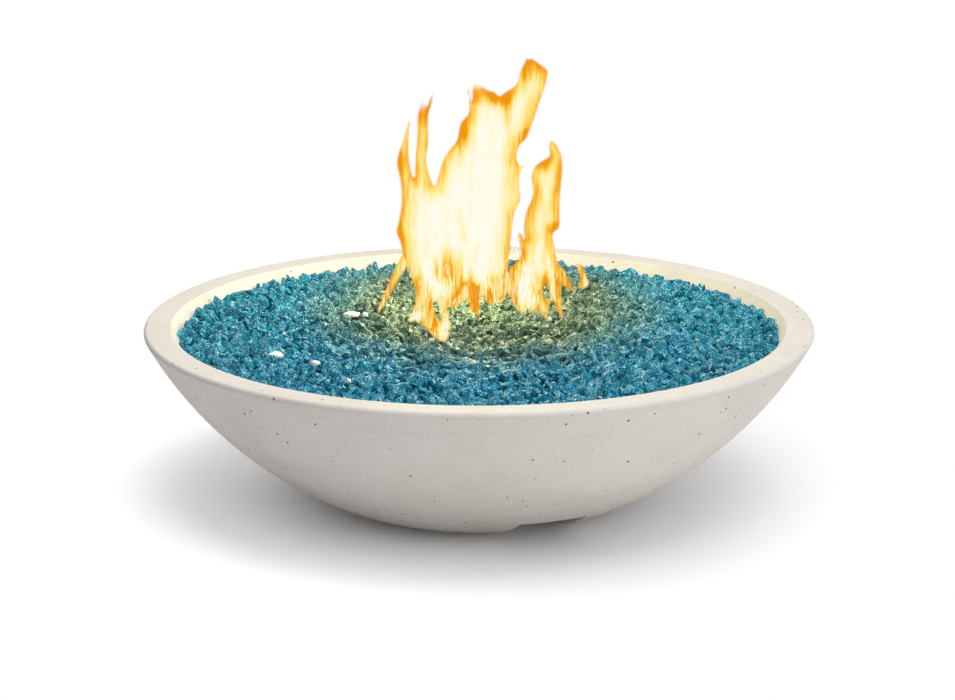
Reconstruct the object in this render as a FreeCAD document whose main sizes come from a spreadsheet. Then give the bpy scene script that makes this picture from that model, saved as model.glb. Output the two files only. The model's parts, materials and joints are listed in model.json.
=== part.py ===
import FreeCAD, Part
import math
import os
import re

import Sketcher
from FreeCAD import Placement, Rotation, Vector

# Tabletop gas fire pit: a round concrete bowl that stands on four rubber pads.
# A ledge inside carries a drop-in pan with a double ring burner under crushed glass.
# Millimetres and degrees, +Z up, z = 0 on the ground, front of the bowl towards -Y.

SIZES = {
    # Bowl
    "bowl_radius": 409.0,
    "bowl_height": 222.0,
    "foot_radius": 155.0,
    "foot_gap": 1.5,
    "heel_start": 14.5,
    "heel_radius": 268.0,
    "heel_turn": 14.0,
    "wall": 31.5,
    "rim_outer_round": 4.0,
    "rim_inner_round": 3.0,
    "foot_round": 2.0,
    "ledge_drop": 60.0,
    "ledge_width": 24.0,
    "chamber_floor": 34.0,
    "floor_inset": 49.0,
    # Hose slot in the foot: measured from the front towards the right
    "slot_angle": 22.0,
    "slot_width": 85.0,
    "slot_top": 37.0,
    "slot_past_centre": 30.0,
    # Foot pads
    "pad_radius": 15.0,
    "pad_circle": 125.0,
    "pad_thick": 3.0,
    "pad_spread": 50.0,
    "seat_gap": 0.3,
    # Burner pan and its screws
    "sheet_thick": 1.5,
    "pan_rim_gap": 2.5,
    "pan_lip": 12.0,
    "pan_drop": 20.0,
    "pan_well_gap": 6.0,
    "weep_radius": 4.0,
    "weep_circle": 220.0,
    "pan_screw_radius": 2.4,
    "pan_screw_long": 14.0,
    "pan_screw_head": 4.5,
    "pan_screw_crown": 2.5,
    "insert_radius": 4.0,
    "insert_long": 12.0,
    # Burner
    "outer_ring_circle": 144.0,
    "inner_ring_circle": 70.0,
    "ring_tube": 7.0,
    "tube_wall": 1.2,
    "port_radius": 1.0,
    "ring_lift": 12.0,
    "spoke_tube": 6.0,
    "hub_radius": 17.0,
    "hub_tall": 22.0,
    "stub_radius": 10.5,
    "stub_bore": 7.5,
    "stub_long": 20.0,
    "burner_foot_width": 10.0,
    "washer_thick": 2.0,
    "washer_radius": 17.0,
    "locknut_across": 30.0,
    "locknut_thick": 8.0,
    # Elbow, air mixer and shutter on an axis that runs left under the pan
    "mixer_drop": 30.0,
    "elbow_radius": 14.0,
    "elbow_reach": 34.0,
    "elbow_rise": 18.0,
    "mixer_start": 20.0,
    "mixer_end": 84.0,
    "mixer_radius": 11.0,
    "mixer_bore": 8.0,
    "mixer_collar": 14.0,
    "shutter_start": 58.0,
    "shutter_end": 78.0,
    "shutter_wall": 2.0,
    "window_radius": 4.5,
    "running_gap": 0.06,
    "shutter_screw_radius": 1.5,
    # Flare fittings and gas lines
    "flare_radius": 7.94,
    "flare_long": 12.0,
    "fitting_hex": 19.0,
    "hex_long": 8.0,
    "fitting_bore": 3.5,
    "orifice_radius": 0.95,
    "line_radius": 6.0,
    "line_wall": 1.5,
    "thread_gap": 0.1,
    "nut_gap": 2.0,
    # Free ends of the two gas lines, and how far their bends keep from the chamber's wall
    "supply_start": 67.0,
    "supply_lift": 50.0,
    "supply_gap": 74.0,
    "supply_dip": 21.0,
    "supply_end": 93.0,
    "burner_start": 70.0,
    "burner_gap": 46.0,
    "burner_rise_gap": 21.0,
    "burner_end": 83.0,
    # Key valve on a tilted axis through the back of the bowl
    "key_tilt": 20.0,
    "key_drop": 60.0,
    "seat_depth": 15.0,
    "recess_radius": 22.0,
    "inner_spot_radius": 20.0,
    "clamped_wall": 26.0,
    "guide_radius": 12.0,
    "guide_bore": 6.5,
    "guide_flange": 16.0,
    "guide_flange_thick": 3.0,
    "guide_long": 48.0,
    "escutcheon_radius": 21.0,
    "escutcheon_thick": 5.0,
    "guide_nut_across": 32.0,
    "bonnet_radius": 15.0,
    "bonnet_socket": 8.0,
    "bonnet_neck": 10.0,
    "seal_thick": 2.0,
    "valve_radius": 15.0,
    "valve_long": 32.0,
    "plug_radius": 8.0,
    "plug_floor": 4.0,
    "valve_port": 4.5,
    "valve_reach": 32.0,
    "stem_radius": 5.0,
    "stem_neck": 4.0,
    "stem_square": 6.8,
    "stem_square_long": 14.0,
    "key_socket_gap": 0.3,
    "key_radius": 6.2,
    "key_reach": 46.0,
    "key_boss_radius": 9.0,
    "key_boss_long": 14.0,
    "key_bar_radius": 4.5,
    "key_bar_half": 32.0,
    "grip_ring_wire": 1.2,
    # Gas inlet inside the slot
    "inlet_height": 16.0,
    "inlet_reach": 104.0,
    "bracket_thick": 3.0,
    "bracket_deep": 24.0,
    "bracket_wide": 124.0,
    "tab_wide": 50.0,
    "tab_gap": 6.0,
    "bracket_screw_radius": 2.4,
    "bracket_screw_inset": 8.0,
    # Glass
    "glass_drop": 18.5,
    "glass_mound": 8.0,
    "glass_lump": 6.0,
    "glass_layer": 16.0,
    "glass_wall_gap": 1.0,
    "glass_clear": 0.3,
}

# Sizes worked out from those above, each a formula in their names
WORKED = {
    "heel_x": "foot_radius - heel_radius * sin(heel_start)",
    "heel_z": "foot_gap + heel_radius * cos(heel_start)",
    "wall_slope": "heel_start + heel_turn",
    "join_x": "heel_x + heel_radius * sin(wall_slope)",
    "join_z": "heel_z - heel_radius * cos(wall_slope)",
    "rise_x": "bowl_radius - join_x",
    "rise_z": "bowl_height - join_z",
    "wall_arc": "(rise_x ^ 2 + rise_z ^ 2) / (2 * (rise_z * cos(wall_slope) - rise_x * sin(wall_slope)))",
    "wall_x": "join_x - wall_arc * sin(wall_slope)",
    "wall_z": "join_z + wall_arc * cos(wall_slope)",
    "inner_arc": "wall_arc - wall",
    "foot_round_x": "heel_x + sqrt((heel_radius - foot_round) ^ 2 - (heel_z - foot_gap - foot_round) ^ 2)",
    "foot_round_share": "heel_radius / (heel_radius - foot_round)",
    "rim_round_z": "bowl_height - rim_outer_round",
    "rim_round_x": "wall_x + sqrt((wall_arc - rim_outer_round) ^ 2 - (wall_z - rim_round_z) ^ 2)",
    "rim_round_share": "wall_arc / (wall_arc - rim_outer_round)",
    "lip_round_z": "bowl_height - rim_inner_round",
    "lip_round_x": "wall_x + sqrt((inner_arc + rim_inner_round) ^ 2 - (wall_z - lip_round_z) ^ 2)",
    "lip_round_share": "inner_arc / (inner_arc + rim_inner_round)",
    "ledge_z": "bowl_height - ledge_drop",
    "ledge_outer": "wall_x + sqrt(inner_arc ^ 2 - (wall_z - ledge_z) ^ 2)",
    "ledge_inner": "ledge_outer - ledge_width",
    "floor_radius": "foot_radius - floor_inset",
    "chamber_rise": "ledge_z - chamber_floor",
    "chamber_widening": "(ledge_inner - wall_x) ^ 2 - (floor_radius - wall_x) ^ 2",
    "chamber_z": "(ledge_z + chamber_floor + chamber_widening / chamber_rise) / 2",
    "chamber_arc": "sqrt((ledge_inner - wall_x) ^ 2 + (chamber_z - ledge_z) ^ 2)",
    "screw_circle": "(ledge_outer + ledge_inner) / 2",
    "pan_radius": "ledge_outer - pan_rim_gap",
    "pan_z": "ledge_z - pan_drop",
    "well_radius": "wall_x + sqrt(chamber_arc ^ 2 - (chamber_z - pan_z) ^ 2) - pan_well_gap",
    "pan_top": "pan_z + sheet_thick",
    "ring_z": "pan_top + ring_lift",
    "mixer_z": "pan_z - mixer_drop",
    "chamber_reach": "wall_x + sqrt(chamber_arc ^ 2 - (chamber_z - mixer_z) ^ 2)",
    "key_height": "pan_z - key_drop",
    "stub_end": "pan_z - stub_long",
    "exit_y": "wall_x + sqrt(wall_arc ^ 2 - (wall_z - key_height) ^ 2)",
    "seat_y": "exit_y - seat_depth * cos(key_tilt)",
    "seat_z": "key_height + seat_depth * sin(key_tilt)",
    "bonnet_top": "-guide_long + bonnet_socket - seal_thick",
    "seal_z": "-guide_long - seal_thick",
    "valve_top": "seal_z - bonnet_neck",
    "valve_mid": "valve_top - valve_long / 2",
    "square_start": "seal_z + stem_neck",
    "square_end": "square_start + stem_square_long",
    "valve_y": "seat_y + valve_mid * cos(key_tilt)",
    "valve_z": "seat_z - valve_mid * sin(key_tilt)",
    "tab_face": "inlet_reach - flare_long - hex_long",
    "inlet_inner": "tab_face - bracket_thick - flare_long - hex_long",
    "bracket_screw_side": "bracket_wide / 2 - bracket_screw_inset",
    "nut_grip": "flare_long - nut_gap",
    "mixer_tip": "mixer_end + hex_long + flare_long",
    "glass_seat": "bowl_height - glass_drop - glass_layer",
    "glass_level": "bowl_height - glass_drop",
}

RING_PORTS = 24
WEEP_HOLES = 8
GLASS_RINGS = 13
POINTS_PER_RING = 6
QUARTERS = (45, 135, 225, 315)
CROSS = (0, 90, 180, 270)
SUPPLY_BEND = 54.5
SUPPLY_RISE = 44.4
BURNER_BEND = 158.2
BURNER_RISE = 137
X_AXIS = Vector(1, 0, 0)
Y_AXIS = Vector(0, 1, 0)
Z_AXIS = Vector(0, 0, 1)


def linked(formula):
    """Return the document expression for a formula written in the sizes' names."""
    def owner(word):
        name = word.group()
        if name in SIZES:
            return "Sizes." + name
        if name in WORKED:
            return "Worked." + name
        raise KeyError(name)
    return re.sub(r"[a-z][a-z_]*\b(?!\()", owner, str(formula))


def number(formula):
    """Return the present value of a formula."""
    return float(SHEET.evalExpression(linked(formula)))


def bind(thing, name, formula):
    """Tie one property of a document object to a formula."""
    if hasattr(thing, name):
        setattr(thing, name, number(formula))
    thing.setExpression(name, linked(formula))


def make_sheet():
    """Make the spreadsheet of driving dimensions."""
    sheet = DOC.addObject("Spreadsheet::Sheet", "Sizes")
    for row, (name, value) in enumerate(SIZES.items(), 1):
        sheet.set("A%d" % row, name)
        sheet.set("B%d" % row, str(value))
        sheet.setAlias("B%d" % row, name)
    DOC.recompute()
    return sheet


def make_worked():
    """Make the set of worked-out sizes, each bound to its formula."""
    worked = DOC.addObject("App::VarSet", "Worked")
    for name in WORKED:
        worked.addProperty("App::PropertyFloat", name, "Worked", "")
    for name, formula in WORKED.items():
        worked.setExpression(name, linked(formula))
    DOC.recompute()


def put(thing, x=0, y=0, z=0, axis=Z_AXIS, turn=0):
    """Place an object: its base point and one turn about an axis, all formulas."""
    thing.Placement = Placement(Vector(number(x), number(y), number(z)), Rotation(axis, number(turn)))
    for name, formula in (("x", x), ("y", y), ("z", z)):
        if formula != 0:
            thing.setExpression("Placement.Base." + name, linked(formula))
    if isinstance(turn, str):
        thing.setExpression("Placement.Rotation.Angle", linked(turn))
    return thing


def cylinder(radius, height, z=0):
    """Return an upright cylinder that starts at height z."""
    made = DOC.addObject("Part::Cylinder", "cylinder")
    bind(made, "Radius", radius)
    bind(made, "Height", height)
    return put(made, z=z)


def hexagon(across, height, z=0):
    """Return a hexagonal prism, sized across its flats."""
    made = DOC.addObject("Part::Prism", "hexagon")
    made.Polygon = 6
    bind(made, "Circumradius", "(%s) / sqrt(3)" % across)
    bind(made, "Height", height)
    return put(made, z=z)


def block(length, width, height, x=0, y=0, z=0):
    """Return a box whose centre line stands at x, y and whose foot is at z."""
    made = DOC.addObject("Part::Box", "block")
    bind(made, "Length", length)
    bind(made, "Width", width)
    bind(made, "Height", height)
    return put(made, "%s - (%s) / 2" % (x, length), "%s - (%s) / 2" % (y, width), z)


def torus(circle, tube, z=0):
    """Return a flat-lying ring."""
    made = DOC.addObject("Part::Torus", "torus")
    bind(made, "Radius1", circle)
    bind(made, "Radius2", tube)
    return put(made, z=z)


def joined(members):
    """Return the union of several objects."""
    made = DOC.addObject("Part::MultiFuse", "joined")
    made.Shapes = members
    return made


def cut(base, tools, label=None):
    """Return base with the tools taken away."""
    made = DOC.addObject("Part::Cut", "cut")
    made.Base = base
    made.Tool = tools[0] if len(tools) == 1 else joined(tools)
    if label:
        made.Label = label
    return made


def group(label, members):
    """Return one object that holds several separate solids."""
    made = DOC.addObject("Part::Compound", label)
    made.Links = members
    made.Label = label
    return made


def plane(body, role):
    """Return a body's own origin plane."""
    return [feature for feature in body.Origin.OriginFeatures if feature.Role == role][0]


def new_body(label):
    """Return an empty body with its own label."""
    body = DOC.addObject("PartDesign::Body", label)
    body.Label = label
    return body


def new_sketch(body, role, lift=0):
    """Return a sketch on one of the body's planes, lifted along the plane's normal."""
    sketch = body.newObject("Sketcher::SketchObject", "sketch")
    sketch.AttachmentSupport = [(plane(body, role), "")]
    sketch.MapMode = "FlatFace"
    if lift != 0:
        sketch.AttachmentOffset = Placement(Vector(0, 0, number(lift)), Rotation())
        sketch.setExpression("AttachmentOffset.Base.z", linked(lift))
    return sketch


def fix(sketch, kind, geometry, point, formula):
    """Hold one coordinate of a sketch point at a formula, measured from the origin."""
    value = number(formula)
    index = sketch.addConstraint(Sketcher.Constraint(kind, -1, 1, geometry, point, value))
    sketch.setExpression("Constraints[%d]" % index, linked(formula))


def polygon(sketch, corners):
    """Draw a closed outline through corners given as pairs of formulas."""
    places = [Vector(number(x), number(y), 0) for x, y in corners]
    first = sketch.GeometryCount
    count = len(corners)
    for index in range(count):
        sketch.addGeometry(Part.LineSegment(places[index], places[(index + 1) % count]), False)
    for index in range(count):
        after = first + (index + 1) % count
        sketch.addConstraint(Sketcher.Constraint("Coincident", first + index, 2, after, 1))
    for index, (x, y) in enumerate(corners):
        fix(sketch, "DistanceX", first + index, 1, x)
        fix(sketch, "DistanceY", first + index, 1, y)


def circle(sketch, x, y, radius):
    """Draw a circle at a centre and of a radius given as formulas."""
    centre = Vector(number(x), number(y), 0)
    index = sketch.addGeometry(Part.Circle(centre, Z_AXIS, number(radius)), False)
    fix(sketch, "DistanceX", index, 3, x)
    fix(sketch, "DistanceY", index, 3, y)
    held = sketch.addConstraint(Sketcher.Constraint("Radius", index, number(radius)))
    sketch.setExpression("Constraints[%d]" % held, linked(radius))


def revolve(body, sketch):
    """Turn a sketch of the XZ plane a full turn about the body's upright axis."""
    feature = body.newObject("PartDesign::Revolution", "revolution")
    feature.Profile = sketch
    feature.ReferenceAxis = (sketch, ["V_Axis"])
    feature.Angle = 360
    return feature


def turned(label, corners):
    """Return a body turned from an outline of radius and height pairs."""
    body = new_body(label)
    sketch = new_sketch(body, "XZ_Plane")
    polygon(sketch, corners)
    revolve(body, sketch)
    return body


def pocket(body, sketch, depth, upwards):
    """Cut a sketch of the XY plane into the body and check that it removes material."""
    DOC.recompute()
    before = body.Shape.Volume
    feature = body.newObject("PartDesign::Pocket", "pocket")
    feature.Profile = sketch
    bind(feature, "Length", depth)
    feature.Reversed = upwards
    DOC.recompute()
    if body.Shape.Volume >= before:
        raise RuntimeError("a pocket of %s cuts nothing" % body.Label)
    return feature


def polar(radius, angle):
    """Return the x and y formulas of a point at a radius and an angle from +X."""
    return "%s * cos(%s)" % (radius, angle), "%s * sin(%s)" % (radius, angle)


def along_slot(reach, side):
    """Return the x and y formulas of a point along the slot and to the side of its axis."""
    x = "(%s) * sin(slot_angle) + (%s) * cos(slot_angle)" % (reach, side)
    y = "-(%s) * cos(slot_angle) + (%s) * sin(slot_angle)" % (reach, side)
    return x, y


def pad_places():
    """Return the angles of the four pads, two on each side of the slot's axis."""
    angles = []
    for back in (0, 180):
        for side in ("-", "+"):
            angles.append("slot_angle - 90 + %d %s pad_spread" % (back, side))
    return angles


def arc(sketch, centre, start, end, hold_start, end_by):
    """Draw an arc with its centre fixed, its start too if asked, and one coordinate of its end."""
    middle = Vector(number(centre[0]), number(centre[1]), 0)
    first = Vector(number(start[0]), number(start[1]), 0) - middle
    last = Vector(number(end[0]), number(end[1]), 0) - middle
    ring = Part.Circle(middle, Z_AXIS, first.Length)
    angles = [math.atan2(first.y, first.x), math.atan2(last.y, last.x)]
    begin, finish = (1, 2) if angles[0] < angles[1] else (2, 1)
    index = sketch.addGeometry(Part.ArcOfCircle(ring, min(angles), max(angles)), False)
    fix(sketch, "DistanceX", index, 3, centre[0])
    fix(sketch, "DistanceY", index, 3, centre[1])
    if hold_start:
        fix(sketch, "DistanceX", index, begin, start[0])
        fix(sketch, "DistanceY", index, begin, start[1])
    fix(sketch, end_by, index, finish, end[0 if end_by == "DistanceX" else 1])
    return index, begin, finish


def line(sketch, start, end):
    """Draw a line between two points given as formulas."""
    places = [Vector(number(x), number(y), 0) for x, y in (start, end)]
    return sketch.addGeometry(Part.LineSegment(*places), False), 1, 2


def bracket_screw_place(side):
    """Return the x and y formulas of one of the bracket's two screws."""
    return along_slot("tab_face - bracket_deep / 2", "%d * bracket_screw_side" % side)


def touching(centre, share, middle):
    """Return where a round meets the arc that it runs into, on the line through both centres."""
    return tuple("%s + (%s - %s) * %s" % (far, near, far, share) for far, near in zip(centre, middle))


def bowl_profile(sketch):
    """Draw half of the bowl's section: foot, heel, wall, rim, inner wall, ledge and chamber."""
    heel = ("heel_x", "heel_z")
    wall = ("wall_x", "wall_z")
    foot_round = ("foot_round_x", "foot_gap + foot_round")
    rim_round = ("rim_round_x", "rim_round_z")
    lip_round = ("lip_round_x", "lip_round_z")
    corners = [
        (0, "foot_gap"), ("foot_round_x", "foot_gap"), touching(heel, "foot_round_share", foot_round),
        ("join_x", "join_z"), touching(wall, "rim_round_share", rim_round), ("rim_round_x", "bowl_height"),
        ("lip_round_x", "bowl_height"), touching(wall, "lip_round_share", lip_round),
        ("ledge_outer", "ledge_z"), ("ledge_inner", "ledge_z"),
        ("floor_radius", "chamber_floor"), (0, "chamber_floor"),
    ]
    chamber = ("wall_x", "chamber_z")
    centres = {1: foot_round, 2: heel, 3: wall, 4: rim_round, 6: lip_round, 7: wall, 9: chamber}
    pieces = []
    for index, start in enumerate(corners):
        end = corners[(index + 1) % len(corners)]
        if index in centres:
            end_by = "DistanceX" if centres[index] == rim_round else "DistanceY"
            pieces.append(arc(sketch, centres[index], start, end, index - 1 not in centres, end_by))
        else:
            pieces.append(line(sketch, start, end))
    for index, piece in enumerate(pieces):
        after = pieces[(index + 1) % len(pieces)]
        joint = Sketcher.Constraint("Coincident", piece[0], piece[2], after[0], after[1])
        sketch.addConstraint(joint)
    # The arcs hold their own ends, so only the two points on the axis are fixed here
    for index in (0, 11):
        fix(sketch, "DistanceX", pieces[index][0], 1, corners[index][0])
        fix(sketch, "DistanceY", pieces[index][0], 1, corners[index][1])


def make_bowl():
    """Make the concrete bowl with its slot, pad recesses, insert holes and key passage."""
    body = new_body("bowl_form")
    sketch = new_sketch(body, "XZ_Plane")
    bowl_profile(sketch)
    revolve(body, sketch)
    sketch = new_sketch(body, "XY_Plane")
    half = "slot_width / 2"
    ends = (("-slot_past_centre", "-" + half), ("bowl_radius", "-" + half),
            ("bowl_radius", half), ("-slot_past_centre", half))
    polygon(sketch, [along_slot(reach, side) for reach, side in ends])
    pocket(body, sketch, "slot_top", True)
    sketch = new_sketch(body, "XY_Plane")
    for angle in pad_places():
        x, y = polar("pad_circle", angle)
        circle(sketch, x, y, "pad_radius + seat_gap")
    pocket(body, sketch, "pad_thick", True)
    sketch = new_sketch(body, "XY_Plane", "ledge_z")
    for angle in QUARTERS:
        x, y = polar("screw_circle", angle)
        circle(sketch, x, y, "insert_radius + thread_gap")
    pocket(body, sketch, "pan_screw_long", False)
    sketch = new_sketch(body, "XY_Plane", "chamber_floor")
    for side in (-1, 1):
        x, y = bracket_screw_place(side)
        circle(sketch, x, y, "insert_radius + thread_gap")
    pocket(body, sketch, "pan_screw_long", False)
    passage = joined([
        cylinder("guide_radius + seat_gap", "clamped_wall + 20", "-clamped_wall - 10"),
        cylinder("recess_radius", "3 * recess_radius"),
        cylinder("inner_spot_radius", "2 * inner_spot_radius", "-clamped_wall - 2 * inner_spot_radius"),
    ])
    on_key_axis(passage)
    return cut(body, [passage], "bowl_shell")


def on_key_axis(thing):
    """Stand an object on the key's axis: its z runs out of the bowl's back from the flange seat."""
    return put(thing, 0, "seat_y", "seat_z", X_AXIS, "-(90 + key_tilt)")


def on_mixer_axis(thing):
    """Lay an object on the mixer's axis: its z runs left from under the hub."""
    return put(thing, 0, 0, "mixer_z", Y_AXIS, -90)


def on_slot_axis(thing, reach, outwards=True):
    """Lay an object on the inlet's axis: its z runs along the slot from a given reach."""
    x, y = along_slot(reach, 0)
    angle = number("slot_angle") - 90 + (0 if outwards else 180)
    heading = Vector(math.cos(math.radians(angle)), math.sin(math.radians(angle)), 0)
    turn_axis = Vector(-heading.y, heading.x, 0)
    base = Vector(number(x), number(y), number("inlet_height"))
    thing.Placement = Placement(base, Rotation(turn_axis, 90))
    for name, formula in (("x", x), ("y", y), ("z", "inlet_height")):
        thing.setExpression("Placement.Base." + name, linked(formula))
    return thing


def make_foot_pads():
    """Make the four rubber pads in their recesses."""
    pads = []
    for angle in pad_places():
        x, y = polar("pad_circle", angle)
        pads.append(put(cylinder("pad_radius", "pad_thick"), x, y))
    return group("foot_pads", pads)


def insert(x, y, top):
    """Return one brass insert, its top face at a height and its thread bore open."""
    sleeve = cylinder("insert_radius", "insert_long", "%s - insert_long" % top)
    bore = cylinder("pan_screw_radius + thread_gap", "insert_long + 2", "%s - insert_long - 1" % top)
    return put(cut(sleeve, [bore]), x, y)


def screw(x, y, seat):
    """Return one button-head screw whose head rests on a seat height."""
    head = cylinder("pan_screw_head", "pan_screw_crown", seat)
    shank = cylinder("pan_screw_radius", "pan_screw_long - 1", "%s - pan_screw_long + 1" % seat)
    drive = hexagon("pan_screw_radius", "pan_screw_crown", "%s + pan_screw_crown / 2" % seat)
    return put(cut(joined([head, shank]), [drive]), x, y)


def make_ledge_fixings():
    """Make the inserts in the ledge and the pan's screws."""
    spots = [polar("screw_circle", angle) for angle in QUARTERS]
    inserts = [insert(x, y, "ledge_z") for x, y in spots]
    screws = [screw(x, y, "ledge_z + sheet_thick") for x, y in spots]
    return [group("ledge_inserts", inserts), group("pan_screws", screws)]


def make_pan():
    """Make the stainless pan with its well, lip, hub hole, weep holes and screw holes."""
    body = turned("burner_pan", [
        ("stub_radius + 1", "pan_z"), ("well_radius", "pan_z"), ("well_radius", "ledge_z"),
        ("pan_radius", "ledge_z"), ("pan_radius", "ledge_z + pan_lip"),
        ("pan_radius - sheet_thick", "ledge_z + pan_lip"),
        ("pan_radius - sheet_thick", "ledge_z + sheet_thick"),
        ("well_radius - sheet_thick", "ledge_z + sheet_thick"),
        ("well_radius - sheet_thick", "pan_top"), ("stub_radius + 1", "pan_top"),
    ])
    sketch = new_sketch(body, "XY_Plane", "pan_top")
    for index in range(WEEP_HOLES):
        x, y = polar("weep_circle", 360 * (index + 0.5) / WEEP_HOLES)
        circle(sketch, x, y, "weep_radius")
    pocket(body, sketch, "2 * sheet_thick", False)
    sketch = new_sketch(body, "XY_Plane", "ledge_z + sheet_thick")
    for angle in QUARTERS:
        x, y = polar("screw_circle", angle)
        circle(sketch, x, y, "pan_screw_radius + seat_gap")
    pocket(body, sketch, "2 * sheet_thick", False)
    return body


def spoke(radius, start, length, angle, z):
    """Return a level tube or bore that runs out from the hub's axis at an angle."""
    made = cylinder(radius, length)
    heading = Vector(-math.sin(math.radians(angle)), math.cos(math.radians(angle)), 0)
    x, y = polar(start, angle)
    return put(made, x, y, z, heading, 90)


def ring(label, circle_size):
    """Return one ring tube with gas ports on top and openings for the spokes."""
    tube = torus(circle_size, "ring_tube", "ring_z")
    bore = torus(circle_size, "ring_tube - tube_wall", "ring_z")
    tools = [bore]
    for index in range(RING_PORTS):
        x, y = polar(circle_size, 360 * (index + 0.5) / RING_PORTS)
        tools.append(put(cylinder("port_radius", "ring_tube"), x, y, "ring_z + 2"))
    for angle in CROSS:
        inner = "%s - ring_tube - 1" % circle_size
        passage = "ring_tube" if circle_size == "outer_ring_circle" else "2 * ring_tube + 2"
        tools.append(spoke("spoke_tube - tube_wall", "(%s)" % inner, passage, angle, "ring_z"))
    return cut(tube, tools, label)


def make_burner():
    """Make the double ring burner with its hub, spokes and feet."""
    outer = ring("burner_ring_outer", "outer_ring_circle")
    inner = ring("burner_ring_inner", "inner_ring_circle")
    arms = joined([spoke("spoke_tube", 0, "outer_ring_circle", angle, "ring_z") for angle in CROSS])
    bores = [spoke("spoke_tube - tube_wall", 0, "outer_ring_circle", angle, "ring_z") for angle in CROSS]
    rings = [torus(size, "ring_tube", "ring_z") for size in ("outer_ring_circle", "inner_ring_circle")]
    core = cylinder("hub_radius", "hub_tall", "pan_top")
    spokes = cut(arms, bores + rings + [core], "burner_spokes")
    body = cylinder("hub_radius", "hub_tall", "pan_top")
    stub = cylinder("stub_radius", "stub_long + sheet_thick + 1", "stub_end")
    bore = cylinder("stub_bore", "ring_z - stub_end + spoke_tube", "stub_end - 1")
    ways = [spoke("spoke_tube - tube_wall", 0, "hub_radius + 1", angle, "ring_z") for angle in CROSS]
    hub = cut(joined([body, stub]), [bore] + ways, "burner_hub")
    feet = []
    for angle in QUARTERS:
        x, y = polar("outer_ring_circle", angle)
        foot = block("burner_foot_width", "burner_foot_width", "ring_lift - ring_tube / 2", 0, 0, "pan_top")
        room = torus("outer_ring_circle", "ring_tube + thread_gap")
        put(room, "-outer_ring_circle", 0, "ring_z")
        feet.append(put(cut(foot, [room]), x, y, 0, Z_AXIS, angle))
    return [outer, inner, spokes, hub, group("burner_feet", feet)]


def make_hub_clamp():
    """Make the washer and the locknut that hold the hub through the pan."""
    disc = cylinder("washer_radius", "washer_thick", "pan_z - washer_thick")
    low = "pan_z - washer_thick - locknut_thick"
    hexagonal = hexagon("locknut_across", "locknut_thick", low)
    bores = [cylinder("stub_radius + thread_gap", "2 * locknut_thick", low + " - 2") for _ in range(2)]
    return [cut(disc, bores[:1], "hub_washer"), cut(hexagonal, bores[1:], "hub_locknut")]


def make_elbow():
    """Make the brass elbow that turns the gas from the mixer up into the hub."""
    rise = cylinder("elbow_radius", "elbow_rise", "mixer_z")
    reach = on_mixer_axis(cylinder("elbow_radius", "elbow_reach"))
    corner = DOC.addObject("Part::Sphere", "corner")
    bind(corner, "Radius", "elbow_radius")
    put(corner, z="mixer_z")
    tools = [
        cylinder("stub_radius + thread_gap", "elbow_rise", "stub_end"),
        cylinder("stub_bore", "elbow_rise", "mixer_z"),
        on_mixer_axis(cylinder("stub_bore", "elbow_reach")),
        on_mixer_axis(cylinder("mixer_radius + thread_gap", "elbow_reach", "mixer_start")),
    ]
    return cut(joined([rise, reach, corner]), tools, "burner_elbow")


def windows(tool_start):
    """Return four radial bores on the mixer's axis at the middle of the shutter."""
    middle = "(shutter_start + shutter_end) / 2"
    made = []
    for angle in QUARTERS:
        heading = Vector(-math.sin(math.radians(angle)), math.cos(math.radians(angle)), 0)
        x, y = polar(tool_start, angle)
        made.append(put(cylinder("window_radius", "mixer_radius"), x, y, middle, heading, 90))
    return made


def make_mixer():
    """Make the venturi tube, the sleeve that turns on it and the sleeve's screw."""
    body = joined([
        cylinder("mixer_radius", "mixer_end - mixer_start", "mixer_start"),
        cylinder("mixer_collar", "shutter_start - elbow_reach - 1 - seat_gap", "elbow_reach + 1"),
    ])
    bore = cylinder("mixer_bore", "mixer_end", "mixer_start - 1")
    mixer = on_mixer_axis(cut(body, [bore] + windows("mixer_bore - 3"), "air_mixer"))
    outer = "mixer_radius + running_gap + shutter_wall"
    sleeve = cylinder(outer, "shutter_end - shutter_start", "shutter_start")
    inside = cylinder("mixer_radius + running_gap", "mixer_end", "mixer_start")
    side = "shutter_start + 3"
    hole = cylinder("shutter_screw_radius + thread_gap", "3 * shutter_wall")
    put(hole, "mixer_radius - 1", 0, side, Y_AXIS, 90)
    shutter = on_mixer_axis(cut(sleeve, [inside, hole] + windows("mixer_radius - 3"), "air_shutter"))
    shank = cylinder("shutter_screw_radius", "shutter_wall + 3", "mixer_radius + running_gap")
    head = cylinder("2 * shutter_screw_radius", "2", "mixer_radius + running_gap + shutter_wall + 2")
    screw_solid = put(joined([shank, head]), 0, 0, side, Y_AXIS, 90)
    fixing = on_mixer_axis(group("shutter_screw", [screw_solid]))
    return [mixer, shutter, fixing]


def make_spud():
    """Make the orifice spud with its male flare, in line with the mixer."""
    solid = joined([
        cylinder("mixer_bore - thread_gap", "6", "mixer_end - 6"),
        hexagon("fitting_hex", "hex_long", "mixer_end"),
        cylinder("flare_radius", "flare_long", "mixer_end + hex_long"),
    ])
    tools = [
        cylinder("orifice_radius", "2 * hex_long + flare_long", "mixer_end - 8"),
        cylinder("fitting_bore", "2 * flare_long", "mixer_end + 2"),
    ]
    return on_mixer_axis(cut(solid, tools, "orifice_spud"))


def line_nut(label):
    """Return a flare nut: its z runs from the end of the male flare along the line."""
    solid = hexagon("fitting_hex", "nut_grip + hex_long", "-nut_grip")
    tools = [
        cylinder("flare_radius + thread_gap", "flare_long", "-flare_long"),
        cylinder("line_radius + thread_gap", "4 * hex_long", "-hex_long"),
    ]
    return cut(solid, tools, label)


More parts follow.
